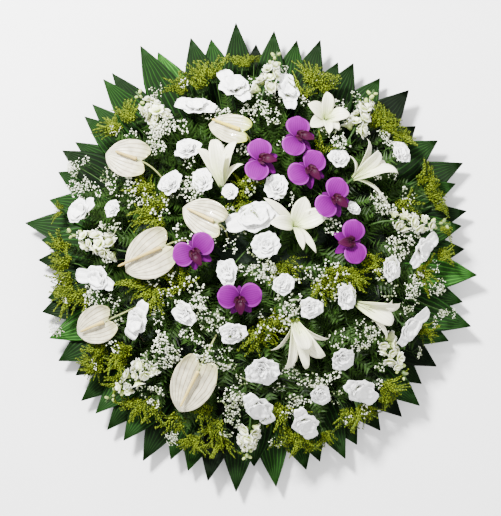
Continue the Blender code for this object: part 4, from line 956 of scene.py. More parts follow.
class WREATH_OT_anthuriums(bpy.types.Operator):
    """Build the anthurium spathes and their spadices"""

    bl_idname = "wreath.anthuriums"
    bl_label = "Anthuriums"

    def execute(self, context):
        colour = tuple(context.scene.wreath_colours.spathe)
        # The spathes' strong mottling, darker where their bump is low, is partly their own blotches and
        # partly painted shade of their blistered relief.
        finishes = [
            plant_material(
                name, ((0.0, root), *shades(colour, (0.22, 0.94), (0.7, 1.0), (1.0, 1.08))), vein, 0.34,
                8.0, 0.6, vein_strength=0.62, mottle_scale=60.0, mottle=1.25, bump=0.9, coat=0.2)
            for name, root, vein in (("cream_spathe", (0.48, 0.47, 0.20), (0.38, 0.29, 0.17)),
                                     ("yellowed_spathe", (0.42, 0.50, 0.03), (0.62, 0.58, 0.14)))]
        flesh = [
            solid_material("spadix_flesh", (0.26, 0.17, 0.03), (0.64, 0.50, 0.16), 0.6, 500.0, 0.8),
            solid_material("yellow_spadix_flesh", (0.36, 0.25, 0.01), (0.74, 0.60, 0.06), 0.6, 500.0, 0.8)]
        stalk_finish = solid_material("anthurium_stalk", (0.08, 0.12, 0.02), (0.36, 0.38, 0.13), 0.5, 90.0)
        spathe = self.spathe_model(finishes[0], context.scene.wreath_sizes.petal_thickness)
        spadix = self.spadix_model(flesh[0])
        for index, (notch, tip, half, spadix_end) in enumerate(ANTHURIUMS):
            lift = SPATHE_LIFT[index]
            node = f"anthurium_{index + 1}"
            origin = on_face(notch, lift)
            ahead = on_face(tip, lift) - origin
            up = (outward(origin) + Vector((0, 0, 1.0))).normalized()
            length = ahead.length * SPATHE_REACH
            far = turned(origin, up, ahead) @ Vector((0.0, length, SPATHE_TIP_LIFT))
            origin = origin + up * rise_of(node, (origin, far), up)
            size = Matrix.Diagonal((metres(half, origin.z) * 2.0, length, SPATHE_DEPTH, 1.0))
            yellowed = index == YELLOWED_SPATHE
            heart = copy_of(spathe, turned(origin, up, ahead) @ size, 0.35 + 0.1 * (index % 3))
            heart.data.materials[0] = finishes[yellowed]
            neck = origin + ahead.normalized() * NECK_SETBACK
            arrival = (ahead.normalized() + up * STALK_RISE).normalized()
            stalk = stem_to(node, neck + up * NECK_TOP, arrival, STALK_RADIUS, stalk_finish)
            settle(f"spathe_{index + 1}", [heart, stalk], "cream_spathe", node)
            lean = on_face(spadix_end, lift) - on_face(notch, lift)
            slope = (lean.normalized() + up * SPADIX_RISE).normalized()
            size = Matrix.Diagonal((SPADIX_RADIUS, lean.length, SPADIX_RADIUS, 1.0))
            rod = copy_of(spadix, turned(neck + up * SPADIX_HEIGHT, up, slope) @ size,
                          0.3 + 0.25 * (index % 3))
            rod.data.materials[0] = flesh[yellowed]
            settle(f"spadix_{index + 1}", [rod], "spadix", f"anthurium_spadix_{index + 1}")
        discard(spathe, spadix)
        return {"FINISHED"}

    def spathe_model(self, finish, thickness):
        """A heart: a blade whose root edge is drawn back into two lobes round its notch."""
        rows, columns = 12, 16
        heart = new_blade(columns, rows, finish)
        shape_blade(heart, rows, (
            (0.84, 0.02, 0.10), (0.95, 0.01, 0.08), (1.0, 0.0, 0.07), (1.0, 0.0, 0.06),
            (1.0, 0.0, 0.05), (0.98, 0.0, 0.04), (0.94, 0.01, 0.03), (0.88, 0.02, 0.02),
            (0.79, 0.02, 0.02), (0.68, 0.02, 0.01), (0.53, 0.0, 0.0), (0.34, -0.03, 0.0),
            (0.03, -0.08, 0.0)))
        edit()
        for low, high, back in ((0.04, 0.44, -0.08), (0.10, 0.38, -0.07), (0.16, 0.32, -0.04)):
            for row, share in enumerate((1.0, 0.8, 0.55, 0.3)):
                nudge(heart, lambda corner: corner.index // (columns + 1) == row
                      and low < abs(corner.co.x) < high, (0.0, back * share, 0.0))
        nudge(heart, lambda corner: corner.co.y < 0.30 and 0.05 < abs(corner.co.x) < 0.2, (0.0, 0.0, 0.04))
        end_edit()
        return finish_blade(heart, thickness / SPATHE_DEPTH, 1)

    def spadix_model(self, finish):
        """A tapered rod along +Y with beads all over it."""
        rings = 44
        rod = new_shape(bpy.ops.mesh.primitive_uv_sphere_add, finish, segments=16, ring_count=rings,
                        radius=1.0, rotation=(-math.pi / 2, 0.0, 0.0))
        edit()
        bpy.ops.mesh.select_all(action="SELECT")
        bpy.ops.transform.resize(value=(1.0, 0.5, 1.0))
        bpy.ops.transform.translate(value=(0.0, 0.5, 0.0))
        for index in range(1, rings):
            along = (1.0 - math.cos(math.pi * index / rings)) / 2.0
            now = math.sin(math.pi * index / rings)
            taper = 1.0 - 0.40 * along
            wish = min(1.0, (along / 0.03) ** 0.5, ((1.0 - along) / 0.05) ** 0.5) * taper
            pick(rod, lambda corner: abs(corner.co.y - along) < 0.0004)
            resize((wish / now, 1.0, wish / now))

        def bead(corner):
            row = round(math.acos(max(-1.0, min(1.0, 1.0 - 2.0 * corner.co.y))) * rings / math.pi)
            column = round(math.atan2(corner.co.z, corner.co.x) * 8 / math.pi)
            return (row + column) % 2

        pick(rod, bead)
        resize((BEAD_SWELL, 1.0, BEAD_SWELL))
        end_edit(smooth=True)
        return rod


class WREATH_OT_orchids(bpy.types.Operator):
    """Build the magenta moth orchids"""

    bl_idname = "wreath.orchids"
    bl_label = "Orchids"

    def execute(self, context):
        colour = tuple(context.scene.wreath_colours.orchid)
        pale = tuple(min(1.0, channel * 1.9 + 0.02) for channel in colour)
        petal_ramp = shades(colour, (0.0, 0.45), (0.25, 0.8), (0.55, 1.0), (0.9, 1.2)) + ((1.0, pale),)
        petal = plant_material(
            "orchid_petal", petal_ramp, darker(colour, 0.55), 0.60, 11.0, vein_strength=0.45,
            mottle_scale=60.0, mottle=0.3, bump=0.35, rim=pale, shine=0.05)
        sepal = plant_material(
            "orchid_sepal", shades(colour, (0.0, 0.3), (0.5, 0.55), (1.0, 0.8)), darker(colour, 0.35), 0.60,
            7.0, vein_strength=0.45, mottle_scale=60.0, mottle=0.3, bump=0.35, shine=0.05)
        lip_ramp = ((0.0, (0.10, 0.02, 0.005)), (0.2, (0.016, 0.0, 0.005)), (1.0, (0.036, 0.0, 0.019)))
        lip = plant_material(
            "orchid_lip", lip_ramp, (0.015, 0.0, 0.008), 0.50, 5.0, vein_strength=0.5, mottle_scale=80.0,
            mottle=0.2, bump=0.3, shine=0.10)
        bloom = self.bloom_model(petal, sepal, lip, context.scene.wreath_sizes.petal_thickness)
        rand = random.Random(3)
        for number, (node, blooms) in enumerate(ORCHIDS):
            pieces = []
            for place, lip_place, lift in blooms:
                origin = on_face(place, lift * MM)
                ahead = on_face(lip_place, lift * MM) - origin
                up = (outward(origin) + Vector((0, 0, 0.8))).normalized()
                matrix = turned(origin, up, ahead)
                rise = rise_of(node, [matrix @ Vector(end) for end in ORCHID_ENDS], up)
                lifted = Matrix.Translation(up * rise) @ matrix
                pieces.append(copy_of(bloom, lifted, rand.uniform(0.25, 0.75)))
                pieces.append(stem_to(node, origin + up * (rise + 0.001), up, ORCHID_STEM))
            settle(f"orchid_blooms_{number + 1}", pieces, "orchid_petal", node)
        discard(bloom)
        return {"FINISHED"}

    def bloom_model(self, petal_finish, sepal_finish, lip_finish, thickness):
        """A bloom facing +Z with its lip towards +Y, in metres."""
        petal = new_blade(10, 8, petal_finish)
        shape_blade(petal, 8, (
            (0.22, 0.00, 0.0), (0.62, 0.05, 0.0), (0.86, 0.09, 0.0), (0.98, 0.12, -0.02),
            (1.02, 0.13, -0.03), (0.98, 0.13, -0.04), (0.86, 0.11, -0.05), (0.66, 0.08, -0.05),
            (0.36, 0.04, -0.03)))
        round_end(petal, 0.36, 0.06)
        finish_blade(petal, thickness / 0.048, 1)
        sepal = new_blade(6, 7, sepal_finish)
        shape_blade(sepal, 7, (
            (0.30, 0.0, 0.0), (0.62, 0.02, 0.04), (0.86, 0.03, 0.05), (0.98, 0.03, 0.05),
            (0.98, 0.02, 0.04), (0.84, 0.0, 0.03), (0.56, -0.03, 0.02), (0.18, -0.07, 0.0)))
        finish_blade(sepal, thickness / 0.038, 1)
        lobe = new_blade(6, 6, lip_finish)
        shape_blade(lobe, 6, (
            (0.30, 0.0, 0.10), (0.55, 0.10, 0.22), (0.80, 0.20, 0.20), (0.95, 0.22, 0.10),
            (0.80, 0.18, 0.04), (0.50, 0.10, 0.0), (0.16, -0.02, 0.0)))
        finish_blade(lobe, thickness / 0.024, 1)
        column = new_shape(bpy.ops.mesh.primitive_uv_sphere_add, lip_finish, segments=10, ring_count=8,
                           radius=1.0)
        edit()
        pick(column, lambda corner: corner.co.z > 0.3)
        resize((1.3, 1.3, 1.0))
        end_edit(smooth=True)
        models = {"petal": petal, "sepal": sepal, "lobe": lobe}
        pieces = []
        for kind, turn, width, length, start, height, tilt, tint in ORCHID_PARTS:
            seat = petal_seat(math.radians(turn), start, height, math.radians(tilt), width, length)
            pieces.append(copy_of(models[kind], seat, tint))
        seat = Matrix.Translation((0, 0, 0.0075)) @ Matrix.Diagonal((0.003, 0.004, 0.005, 1))
        pieces.append(copy_of(column, seat, 0.9))
        discard(petal, sepal, lobe, column)
        return joined("orchid_model", pieces)


class WREATH_OT_lilies(bpy.types.Operator):
    """Build the lilies, tepal by tepal"""

    bl_idname = "wreath.lilies"
    bl_label = "Lilies"

    def execute(self, context):
        colour = tuple(context.scene.wreath_colours.lily)
        ramp = ((0.0, (0.34, 0.46, 0.10)), (0.30, (0.70, 0.74, 0.42)),
                *shades(colour, (0.6, 1.0), (1.0, 1.08)))
        finish = plant_material("lily_tepal", ramp, (0.60, 0.66, 0.34), 0.42, 5.0, mottle_scale=60.0,
                                mottle=0.18, bump=0.5, sheen=0.15)
        style = solid_material("lily_style", (0.45, 0.55, 0.18), (0.72, 0.76, 0.42), 0.5, 200.0)
        model = new_blade(6, len(TEPAL_WIDTHS) - 1, finish)
        shape_blade(model, len(TEPAL_WIDTHS) - 1, [(width, 0.0, 0.0) for width in TEPAL_WIDTHS])
        for index, (place, drop, tepals) in enumerate(LILIES):
            node = f"lily_{index + 1}"
            base = on_face(place, drop * MM)
            ends = []
            for x, y, width, lift in tepals:
                tip = on_face((x, y), lift * MM)
                ends.append((tip, metres(width, tip.z) * TEPAL_WIDTH))
            middle = sum((tip for tip, _ in ends), Vector()) / len(ends)
            axis = ((middle - base).normalized() + outward(base) * 0.8).normalized()
            shift = outward(base) * rise_of(node, [tip for tip, _ in ends], outward(base))
            heart = base + shift
            pieces = []
            for number, (tip, half) in enumerate(ends):
                tepal = self.tepal(model, heart, axis, tip + shift, half, number)
                pieces.append(finish_blade(tepal, TEPAL_THICKNESS, offset=-1.0))
            side = axis.orthogonal().normalized()
            for turn in range(STAMENS):
                angle = math.tau * turn / STAMENS
                lean = side * math.cos(angle) + axis.cross(side) * math.sin(angle)
                points = [heart + axis * (0.004 + 0.007 * k) + lean * (0.0012 + 0.0011 * k)
                          for k in range(5)]
                pieces.append(stem(points, STAMEN_RADIUS, style, 0.7))
            pieces.append(stem([heart, heart + axis * PISTIL_LENGTH], PISTIL_RADIUS, style, 0.3))
            pieces.append(stem_to(node, heart + axis * 0.002, axis, LILY_STEM))
            settle(f"lily_bloom_{index + 1}", pieces, "lily_tepal", node)
        discard(model)
        return {"FINISHED"}

    def tepal(self, model, base, axis, tip, half, number):
        """A copy of the flat tepal, bent along its own line out of the trumpet."""
        away = (tip - base) - axis * (tip - base).dot(axis)
        away.normalize()
        inner = number % 2
        root = base + away * (TRUMPET_RADIUS * (0.30 + 0.1 * inner))
        mouth = base + axis * TRUMPET_DEPTH + away * TRUMPET_RADIUS * 0.9
        reach = (tip - mouth).length
        bend_out = tip - away * reach * 0.34 + axis * reach * (0.16 + 0.04 * inner)
        across = axis.cross(away)
        piece = copy_of(model, Matrix.Identity(4), 0.35 + 0.12 * (number % 4))
        for vertex in piece.data.vertices:
            u, v = vertex.co.y, vertex.co.x * 2.0
            middle = bezier(root, mouth, bend_out, tip, u)
            ahead = bezier(root, mouth, bend_out, tip, min(1.0, u + BEND_STEP)) - \
                bezier(root, mouth, bend_out, tip, max(0.0, u - BEND_STEP))
            upper = ahead.cross(across).normalized()
            if upper.dot(axis) < 0.0 and upper.dot(away) > 0.0:
                upper = -upper
            if upper.dot(axis) - upper.dot(away) < 0.0:
                upper = -upper
            crest = max(0.0, 1.0 - abs(v) * 3.0) * math.sin(math.pi * min(1.0, u * 1.1))
            ridge = TEPAL_RIDGE * half * crest
            cup = TEPAL_CUP * half * v * v * (1.0 - 0.6 * u)
            wave = TEPAL_WAVE * half * math.sin(9.0 * u + number) * abs(v) ** 3
            vertex.co = middle + across * half * v + upper * (cup + wave - ridge)
        return piece


class WREATH_OT_lisianthus(bpy.types.Operator):
    """Build the white lisianthus blooms"""

    bl_idname = "wreath.lisianthus"
    bl_label = "Lisianthus"

    def execute(self, context):
        white = tuple(context.scene.wreath_colours.white)
        finish = plant_material(
            "white_petal", ((0.0, (0.42, 0.50, 0.20)), *shades(white, (0.16, 0.92), (1.0, 1.0))),
            darker(white, 0.86), 0.5, 8.0, vein_strength=0.20, mottle_scale=80.0, mottle=0.08, bump=0.30,
            sheen=0.1)
        petal = self.petal_model(finish, context.scene.wreath_sizes.petal_thickness)
        cup = self.calyx_model()
        full = [self.bloom_model(petal, cup, seed, FULL_BLOOM) for seed in range(3)]
        loose = [self.bloom_model(petal, cup, seed, LOOSE_BLOOM) for seed in range(3)]
        for index, spray in enumerate(LISIANTHUS):
            node = f"lisianthus_{index + 1:02d}"
            rand = random.Random(index)
            pieces = []
            for number, (place, half, lobe, fold) in enumerate(spray):
                origin = on_face(place)
                radius = metres(half, origin.z)
                up = (outward(origin) + Vector((0, 0, 0.35))).normalized()
                origin += up * rise_of(
                    node, (origin + up * radius * 0.02, origin - up * radius * 0.90), up)
                ahead = on_face(lobe) - on_face(place) if lobe else level(index * 2.0 + number)
                bloom = (loose if lobe else full)[(index + number) % 3]
                oval = Matrix.Diagonal((rand.uniform(0.78, 1.0), rand.uniform(0.96, 1.16), 1.0, 1.0))
                seat = turned(origin, up, ahead, radius) @ oval
                pieces.append(copy_of(bloom, seat, rand.uniform(0.4, 0.6)))
                for target, share in ((lobe, 1.0), (fold, 0.9)):
                    if target:
                        away = on_face(target) - on_face(place)
                        foot = origin - up * radius * 0.20 + away * 0.15
                        size = Matrix.Diagonal((radius * 1.1 * share, away.length * 0.95,
                                                away.length * 0.6, 1.0))
                        tilt = Matrix.Rotation(LOBE_TILT, 4, "X")
                        pieces.append(copy_of(petal, turned(foot, up, away) @ tilt @ size))
                pieces.append(stem_to(node, origin - up * radius * 0.72, up, LISIANTHUS_STEM))
            settle(f"lisianthus_blooms_{index + 1:02d}", pieces, "white_petal", node)
        discard(petal, cup, *full, *loose)
        return {"FINISHED"}

    def petal_model(self, finish, thickness):
        """A broad petal, cupped and ruffled along its outer edge."""
        petal = new_blade(8, 5, finish)
        shape_blade(petal, 5, (
            (0.24, 0.00, 0.0), (0.66, 0.05, 0.06), (0.97, 0.12, 0.08), (1.06, 0.17, 0.07),
            (0.98, 0.18, 0.03), (0.66, 0.14, 0.0)))
        ruffle(petal, 8, 0.95, 0.60, 0.050)
        return finish_blade(petal, thickness / BLOOM_SCALE)

    def calyx_model(self):
        """The green calyx below a bloom: a cup with a drawn-out foot."""
        green = solid_material("calyx", (0.01, 0.03, 0.005), (0.04, 0.10, 0.02), 0.5, 150.0)
        cup = new_shape(bpy.ops.mesh.primitive_uv_sphere_add, green, segments=8, ring_count=6,
                        radius=0.20, location=(0.0, 0.0, -0.68))
        edit()
        nudge(cup, lambda corner: corner.co.z < -0.85, (0.0, 0.0, -0.05))
        end_edit(smooth=True)
        return cup

    def bloom_model(self, petal, cup, seed, rings):
        """A bloom of one unit's radius facing +Z: rings of ruffled petals over its calyx."""
        rand = random.Random(seed)
        pieces = [copy_of(cup, Matrix.Identity(4))]
        for count, start, height, tilt, length, width, phase in rings:
            for number in range(count):
                turn = math.tau * (number + phase + rand.uniform(-0.12, 0.12)) / count
                lean = math.radians(tilt + rand.uniform(-7.0, 7.0))
                size = length * rand.uniform(0.76, 1.16)
                seat = petal_seat(turn, start, height, lean, width * rand.uniform(0.9, 1.1), size)
                pieces.append(copy_of(petal, seat))
        return joined(f"bloom_model_{seed}", pieces)


class WREATH_OT_spikes(bpy.types.Operator):
    """Build the white flower spikes"""

    bl_idname = "wreath.spikes"
    bl_label = "Flower Spikes"

    def execute(self, context):
        white = tuple(context.scene.wreath_colours.white)
        ramp = ((0.0, (0.12, 0.20, 0.03)), (0.3, (0.48, 0.56, 0.20)), (0.8, (0.78, 0.80, 0.50)),
                (1.0, darker(white, 0.92)))
        finish = plant_material("spike_petal", ramp, (0.34, 0.44, 0.12), 0.5, 3.0, vein_strength=0.45,
                                mottle=0.3)
        green = solid_material("spike_bud", (0.03, 0.07, 0.008), (0.42, 0.52, 0.14), 0.5, 160.0)
        petal = new_blade(4, 4, finish)
        shape_blade(petal, 4, (
            (0.30, 0.0, 0.0), (0.62, 0.10, 0.08), (0.90, 0.15, 0.08), (0.94, 0.12, 0.03), (0.50, 0.02, 0.0)))
        finish_blade(petal, 0.04)
        parts = []
        for count, start, tilt, phase in BELL_RINGS:
            for number in range(count):
                turn = math.tau * (number + phase) / count
                parts.append(copy_of(petal, petal_seat(turn, start, 0.1, math.radians(tilt), 0.75, 1.0)))
        bell = joined("bell_model", parts)
        bud = new_shape(bpy.ops.mesh.primitive_ico_sphere_add, green, subdivisions=2, radius=0.42,
                        location=(0, 0, 0.3))
        edit()
        nudge(bud, lambda corner: corner.co.z > 0.5, (0.0, 0.0, 0.35))
        end_edit(smooth=True)
        for index, (foot, tip) in enumerate(SPIKES):
            self.spike(index, foot, tip, bell, bud)
        discard(petal, bell, bud)
        return {"FINISHED"}

    def spike(self, index, foot, tip, bell, bud):
        """One spike: bells in a spiral round its stalk, and buds towards its tip."""
        node = f"flower_spike_{index + 1}"
        rand = random.Random(index)
        low = on_face(foot, -SPIKE_DEPTH)
        high = on_face(tip)
        up = outward(low)
        rise = rise_of(node, (high,), up)
        low, high = low + up * rise, high + up * rise
        axis = high - low
        side = up.cross(axis).normalized()
        over = axis.cross(side).normalized()
        pieces = [stem([low.lerp(high, k / 6) for k in range(7)], SPIKE_RADIUS, stem_material())]
        for number in range(SPIKE_FLORETS):
            share = (number + 0.5) / SPIKE_FLORETS
            turn = number * GOLDEN_TURN
            way = side * math.cos(turn) + over * math.sin(turn)
            if way.dot(over) < SPIKE_HIDDEN:
                continue
            place = low.lerp(high, share * 0.96 + 0.02) + way * 0.004
            lean = (way + axis.normalized() * rand.uniform(0.2, 0.8)).normalized()
            size = (0.022 - 0.009 * share) * rand.uniform(0.75, 1.2)
            template = bell if share < BELL_SHARE else bud
            if template is bud:
                size *= BUD_SIZE
            pieces.append(copy_of(template, turned(place, lean, axis.cross(lean), size), rand.random()))
        pieces.append(stem_to(node, low.lerp(high, 0.04), axis.normalized(), SPIKE_STEM))
        settle(f"white_spike_{index + 1}", pieces, "spike_floret", node)


class WREATH_OT_goldenrod(bpy.types.Operator):
    """Build the goldenrod plumes"""

    bl_idname = "wreath.goldenrod"
    bl_label = "Goldenrod"

    def execute(self, context):
        sizes = context.scene.wreath_sizes
        colour = tuple(context.scene.wreath_colours.goldenrod)
        fuzz = solid_material("goldenrod_bud", (0.010, 0.024, 0.002), colour, 0.8, 160.0, 0.5, shine=0.1)
        plumes = [self.plume_model(fuzz, seed) for seed in range(4)]
        for index, spray in enumerate(GOLDENROD):
            node = f"goldenrod_{index + 1}"
            rand = random.Random(sizes.seed + index)
            pieces = []
            for place, end, count in spray + LOOSE_GOLDENROD[index]:
                heart = on_face(place, -PLUME_DEPTH)
                up = outward(heart)
                heading = (on_face(end) - on_face(place)).normalized()
                heading = (heading + Vector((heart.x, heart.y, 0.0)) * PLUME_FAN).normalized()
                side = heading.cross(up).normalized()
                for _ in range(count * sizes.plume_share):
                    way = heading * rand.uniform(0.0, 1.1) + side * rand.uniform(-0.8, 0.8)
                    way = (way + up * rand.uniform(0.4, 0.9)).normalized()
                    start = heart + side * rand.uniform(-0.012, 0.012) - up * 0.012 - heading * 0.008
                    length = sizes.plume_length * rand.uniform(0.6, 1.05)
                    while (start + way * length).xy.length > PLUME_REACH and length > PLUME_SHORTEST:
                        length *= 0.9
                    matrix = grown(start, way, up, length)
                    pieces.append(copy_of(rand.choice(plumes), matrix, rand.uniform(0.0, 0.85)))
                if (place, end, count) in spray:
                    pieces.append(stem_to(node, heart, up, PLUME_STEM))
                else:
                    pieces.append(loose_stem(heart, PLUME_STEM))
            settle(f"goldenrod_plumes_{index + 1}", pieces, "goldenrod", node)
        discard(*plumes)
        return {"FINISHED"}

    def plume_model(self, fuzz, seed):
        """A plume one unit long along +Y: buds along an arched, drooping line."""
        rand = random.Random(seed)
        bud = new_shape(bpy.ops.mesh.primitive_cone_add, fuzz, vertices=4, radius1=1.0, radius2=0.0,
                        depth=2.0)
        roughen(0.25, seed)
        end_edit(smooth=True)

        def line(u):
            return Vector((0.0, u, 0.16 * math.sin(math.pi * u) - 0.16 * u * u))

        pieces = [stem([line(k / 2) for k in range(3)], 0.008, stem_material())]
        for number in range(PLUME_BUDS):
            u = 0.24 + 0.76 * number / (PLUME_BUDS - 1)
            bulge = 0.15 * (1.10 - u) * rand.uniform(0.3, 1.3)
            turn = number * GOLDEN_TURN
            offset = Vector((math.cos(turn), 0.0, math.sin(turn) * 0.7 + 0.3)) * bulge
            size = rand.uniform(0.012, 0.026) * (1.25 - 0.45 * u)
            shape = Matrix.Rotation(turn, 4, "Y") @ Matrix.Diagonal((size, size * 2.0, size, 1.0))
            pieces.append(copy_of(bud, Matrix.Translation(line(u) + offset) @ shape, rand.random()))
        discard(bud)
        return joined(f"plume_model_{seed}", pieces)


class WREATH_OT_gypsophila(bpy.types.Operator):
    """Build the gypsophila clouds"""

    bl_idname = "wreath.gypsophila"
    bl_label = "Gypsophila"

    def execute(self, context):
        sizes = context.scene.wreath_sizes
        white = solid_material("gypsophila_floret", (0.14, 0.18, 0.06), (0.84, 0.86, 0.70), 0.7, 900.0)
        sprigs = [self.sprig_model(white, seed) for seed in range(4)]
        blooms = self.bloom_discs()
        for index, spray in enumerate(GYPSOPHILA):
            node = f"gypsophila_{index + 1}"
            rand = random.Random(sizes.seed + 10 + index)
            pieces = []
            for place, florets in spray:
                heart = on_face(place, -SPRIG_DEPTH)
                for _ in range(2 + florets // 2):
                    pieces.append(self.sprig_copy(sprigs, heart, sizes.sprig_length, rand, 0.012))
                pieces.append(stem_to(node, heart, outward(heart), SPRIG_STEM))
            for _ in range(sizes.sprig_count):
                place = self.free_place(index, blooms, rand)
                heart = on_face(place, rand.uniform(-0.045, -0.024))
                pieces.append(self.sprig_copy(sprigs, heart, sizes.sprig_length, rand, 0.0))
                pieces.append(loose_stem(heart, LOOSE_SPRIG_STEM))
            settle(f"gypsophila_cloud_{index + 1}", pieces, "gypsophila", node)
        discard(*sprigs)
        return {"FINISHED"}

    def bloom_discs(self):
        """Places and radii, in pixels, that the larger blooms cover."""
        discs = [(place, half) for spray in LISIANTHUS for place, half, _, _ in spray]
        discs += [(place, 20) for _, blooms in ORCHIDS for place, _, _ in blooms]
        for notch, tip, half, _ in ANTHURIUMS:
            discs.append((((notch[0] + tip[0]) / 2, (notch[1] + tip[1]) / 2), half + 2))
        for place, _, tepals in LILIES:
            discs.append((place, 12))
            discs += [(((place[0] + x) / 2, (place[1] + y) / 2), width * 0.6) for x, y, width, _ in tepals]
        return discs

    def free_place(self, third, blooms, rand):
        """A place in one third of the disc that no larger bloom covers."""
        for _ in range(200):
            turn = third_turn(third, rand)
            reach = SPRIG_REACH * math.sqrt(rand.uniform(0.0, 1.0))
            place = (PHOTO_CENTRE[0] + reach * math.cos(turn), PHOTO_CENTRE[1] - reach * math.sin(turn))
            if all(math.dist(place, disc) > size for disc, size in blooms):
                return place
        return place

    def sprig_copy(self, sprigs, heart, length, rand, loose):
        """A sprig that leans its own way out of the clump, lower and shorter towards the rim."""
        up = (outward(heart) + Vector((0.0, 0.0, 3.0)) * heart.xy.length ** 2).normalized()
        length *= 1.0 - 3.0 * max(0.0, heart.xy.length - 0.30)
        side = up.orthogonal().normalized()
        over = up.cross(side)
        ahead = side * math.cos(rand.uniform(0, math.tau)) + over * math.sin(rand.uniform(0, math.tau))
        lean = (up + ahead * rand.uniform(0.0, 0.7)).normalized()
        start = heart + ahead * rand.uniform(0.0, loose)
        turn = side * math.cos(rand.uniform(0, math.tau)) + over * rand.uniform(-1.0, 1.0)
        matrix = turned(start, lean, turn, length * rand.uniform(0.8, 1.15))
        return copy_of(rand.choice(sprigs), matrix, rand.random())

    def sprig_model(self, white, seed):
        """A sprig one unit high along +Z: forked twigs that each end in a round floret."""
        rand = random.Random(seed)
        floret = new_shape(bpy.ops.mesh.primitive_ico_sphere_add, white, subdivisions=1, radius=1.0)
        roughen(0.35, seed)
        end_edit()
        twig = new_shape(bpy.ops.mesh.primitive_cone_add, stem_material(), vertices=3, radius1=1.0,
                         radius2=0.6, depth=1.0, location=(0.0, 0.0, 0.5))

        def twig_between(start, end, thick):
            along = end - start
            matrix = turned(start, along, along.orthogonal())
            return copy_of(twig, matrix @ Matrix.Diagonal((thick, thick, along.length, 1.0)), 0.6)

        fork = Vector((0.0, 0.0, 0.30))
        pieces = [twig_between(Vector(), fork, 0.012)]
        for branch in range(TWIG_BRANCHES):
            turn = math.tau * (branch + rand.uniform(-0.2, 0.2)) / TWIG_BRANCHES
            lean = rand.uniform(0.15, 0.42)
            knee = fork + level(turn, lean, rand.uniform(0.22, 0.38))
            pieces.append(twig_between(fork, knee, 0.009))
            for _ in range(TWIG_ENDS):
                end = knee + Vector((rand.uniform(-0.20, 0.20), rand.uniform(-0.20, 0.20),
                                     rand.uniform(0.08, 0.30)))
                pieces.append(twig_between(knee, end, 0.007))
                size = rand.uniform(0.026, 0.060)
                shape = Matrix.Diagonal((size, size, size * 0.8, 1.0))
                pieces.append(copy_of(floret, Matrix.Translation(end) @ shape, rand.uniform(0.1, 1.0)))
        discard(floret, twig)
        return joined(f"sprig_model_{seed}", pieces)


class WREATH_OT_ferns(bpy.types.Operator):
    """Build the fern bunches that fill the gaps, in a dark green that is partly painted shade"""

    bl_idname = "wreath.ferns"
    bl_label = "Ferns"

    def execute(self, context):
        sizes = context.scene.wreath_sizes
        colour = tuple(context.scene.wreath_colours.fern)
        # The fern finish runs from near black, painted shade of the gaps between the blooms, to a paler
        # green that is the fronds' own green with painted highlight on some fronds.
        green = solid_material("fern_leaf_with_painted_shade_and_highlight", darker(colour, 0.10), darker(colour, 2.2), 0.5, 60.0,
                               shine=0.12)
        fronds = [self.frond_model(green, seed) for seed in range(3)]
        for index in range(3):
            rand = random.Random(sizes.seed + 30 + index)
            pieces = []
            for _ in range(sizes.frond_count):
                turn = third_turn(index, rand)
                flat = level(turn, FROND_ROOTS * math.sqrt(rand.uniform(0.0, 1.0)))
                up = outward(bed_point(flat, 0.5))
                start = loose_foot(up)
                ahead = level(turn + rand.gauss(0.0, 0.9))
                way = (ahead * rand.uniform(0.4, 1.0) + up * rand.uniform(0.5, 1.1)).normalized()
                length = sizes.frond_length * rand.uniform(0.65, 1.1)
                end = start + way * length
                if end.xy.length > FROND_REACH or end.z > face_height(end.xy.length):
                    length *= 0.7
                pieces.append(copy_of(rand.choice(fronds), grown(start, way, up, length), rand.random()))
            settle(f"fern_bunch_{index + 1}", pieces, "fern_green", f"fern_{index + 1}")
        discard(*fronds)
        return {"FINISHED"}

    def frond_model(self, finish, seed):
        """A frond one unit long along +Y with pointed leaflets on both sides of its rib."""
        rand = random.Random(seed)
        leaflet = new_shape(bpy.ops.mesh.primitive_cone_add, finish, vertices=4, radius1=1.0,
                            radius2=0.0, depth=1.0, rotation=(-math.pi / 2, 0.0, 0.0),
                            location=(0.0, 0.5, 0.0))
        pieces = [copy_of(leaflet, Matrix.Diagonal((0.012, 1.0, 0.010, 1.0)), 0.4)]
        for number in range(LEAFLET_PAIRS):
            u = 0.08 + 0.88 * number / LEAFLET_PAIRS
            length = 0.26 * math.sin(math.pi * (0.18 + 0.74 * u)) * rand.uniform(0.85, 1.1)
            for side in (-1.0, 1.0):
                turn = Matrix.Rotation(side * math.radians(58.0 + rand.uniform(-8.0, 8.0)), 4, "Z")
                lift = Matrix.Rotation(math.radians(rand.uniform(-12.0, 24.0)), 4, "X")
                shape = Matrix.Diagonal((0.034, length, 0.008, 1.0))
                pieces.append(copy_of(leaflet, Matrix.Translation((0, u, 0)) @ turn @ lift @ shape,
                                      rand.random()))
        discard(leaflet)
        return joined(f"frond_model_{seed}", pieces)


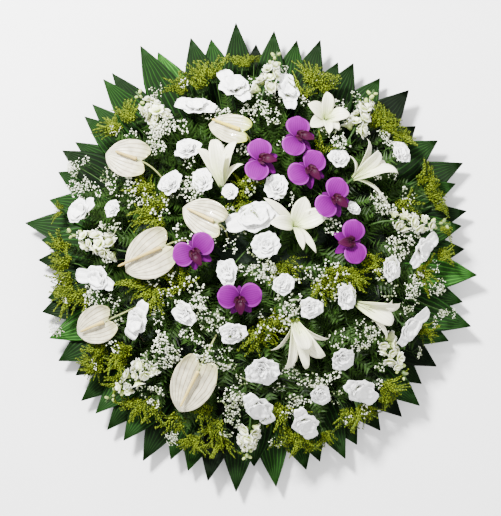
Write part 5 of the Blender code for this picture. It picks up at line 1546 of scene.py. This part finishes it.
class WREATH_OT_stage(bpy.types.Operator):
    """Set the floor, the lights and the camera"""

    bl_idname = "wreath.stage"
    bl_label = "Stage"

    def execute(self, context):
        pale = solid_material("pale_floor", (0.90, 0.90, 0.90), (0.98, 0.98, 0.98), 0.8, 3.0, 0.02)
        floor = new_shape(bpy.ops.mesh.primitive_plane_add, pale, size=9.0, location=(0.0, 0.0, -0.0005))
        floor.name = "floor"
        for name, place, size, power in LIGHTS:
            bpy.ops.object.light_add(type="AREA", location=place)
            lamp = context.object
            lamp.name = name
            lamp.data.size = size
            lamp.data.energy = power
            lamp.rotation_euler = (LIT_PLACE - Vector(place)).to_track_quat("-Z", "Y").to_euler()
        world = bpy.data.worlds.new("studio")
        world.use_nodes = True
        sky = world.node_tree.nodes["Background"].inputs
        sky["Color"].default_value = (1.0, 1.0, 1.0, 1.0)
        sky["Strength"].default_value = SKY_STRENGTH
        context.scene.world = world
        bpy.ops.object.camera_add(location=(0.0, 0.0, EYE_HEIGHT), rotation=(0.0, 0.0, 0.0))
        camera = context.object
        camera.name = "photo_camera"
        camera.data.sensor_width = SENSOR_WIDTH
        camera.data.lens = PHOTO_FOCAL / PHOTO_HEIGHT * SENSOR_WIDTH
        context.scene.camera = camera
        return {"FINISHED"}


OPERATORS = (
    WREATH_OT_base, WREATH_OT_palm, WREATH_OT_anthuriums, WREATH_OT_orchids, WREATH_OT_lilies,
    WREATH_OT_lisianthus, WREATH_OT_spikes, WREATH_OT_goldenrod, WREATH_OT_gypsophila,
    WREATH_OT_ferns, WREATH_OT_stage,
)


class WREATH_PT_panel(bpy.types.Panel):
    """The wreath's settings and its pieces, in the order in which they are built"""

    bl_idname = "WREATH_PT_panel"
    bl_label = "Funeral Wreath"
    bl_space_type = "VIEW_3D"
    bl_region_type = "UI"
    bl_category = "Wreath"

    def draw(self, context):
        layout = self.layout
        for group in (context.scene.wreath_sizes, context.scene.wreath_colours):
            box = layout.box()
            for name in group.__annotations__:
                box.prop(group, name)
        for operator in OPERATORS:
            layout.operator(operator.bl_idname)


CLASSES = (WreathSizes, WreathColours) + OPERATORS + (WREATH_PT_panel,)


def register():
    """Registers the classes, and hangs the settings on the scene."""
    for cls in CLASSES:
        bpy.utils.register_class(cls)
    bpy.types.Scene.wreath_sizes = bpy.props.PointerProperty(type=WreathSizes)
    bpy.types.Scene.wreath_colours = bpy.props.PointerProperty(type=WreathColours)


def unregister():
    """Takes the settings off the scene, and unregisters the classes."""
    del bpy.types.Scene.wreath_colours
    del bpy.types.Scene.wreath_sizes
    for cls in reversed(CLASSES):
        bpy.utils.unregister_class(cls)


def main():
    """Builds the wreath piece by piece."""
    register()
    bpy.ops.wreath.base()
    bpy.ops.wreath.palm()
    bpy.ops.wreath.anthuriums()
    bpy.ops.wreath.orchids()
    bpy.ops.wreath.lilies()
    bpy.ops.wreath.lisianthus()
    bpy.ops.wreath.spikes()
    bpy.ops.wreath.goldenrod()
    bpy.ops.wreath.gypsophila()
    bpy.ops.wreath.ferns()
    bpy.ops.wreath.stage()


if __name__ == "__main__":
    main()
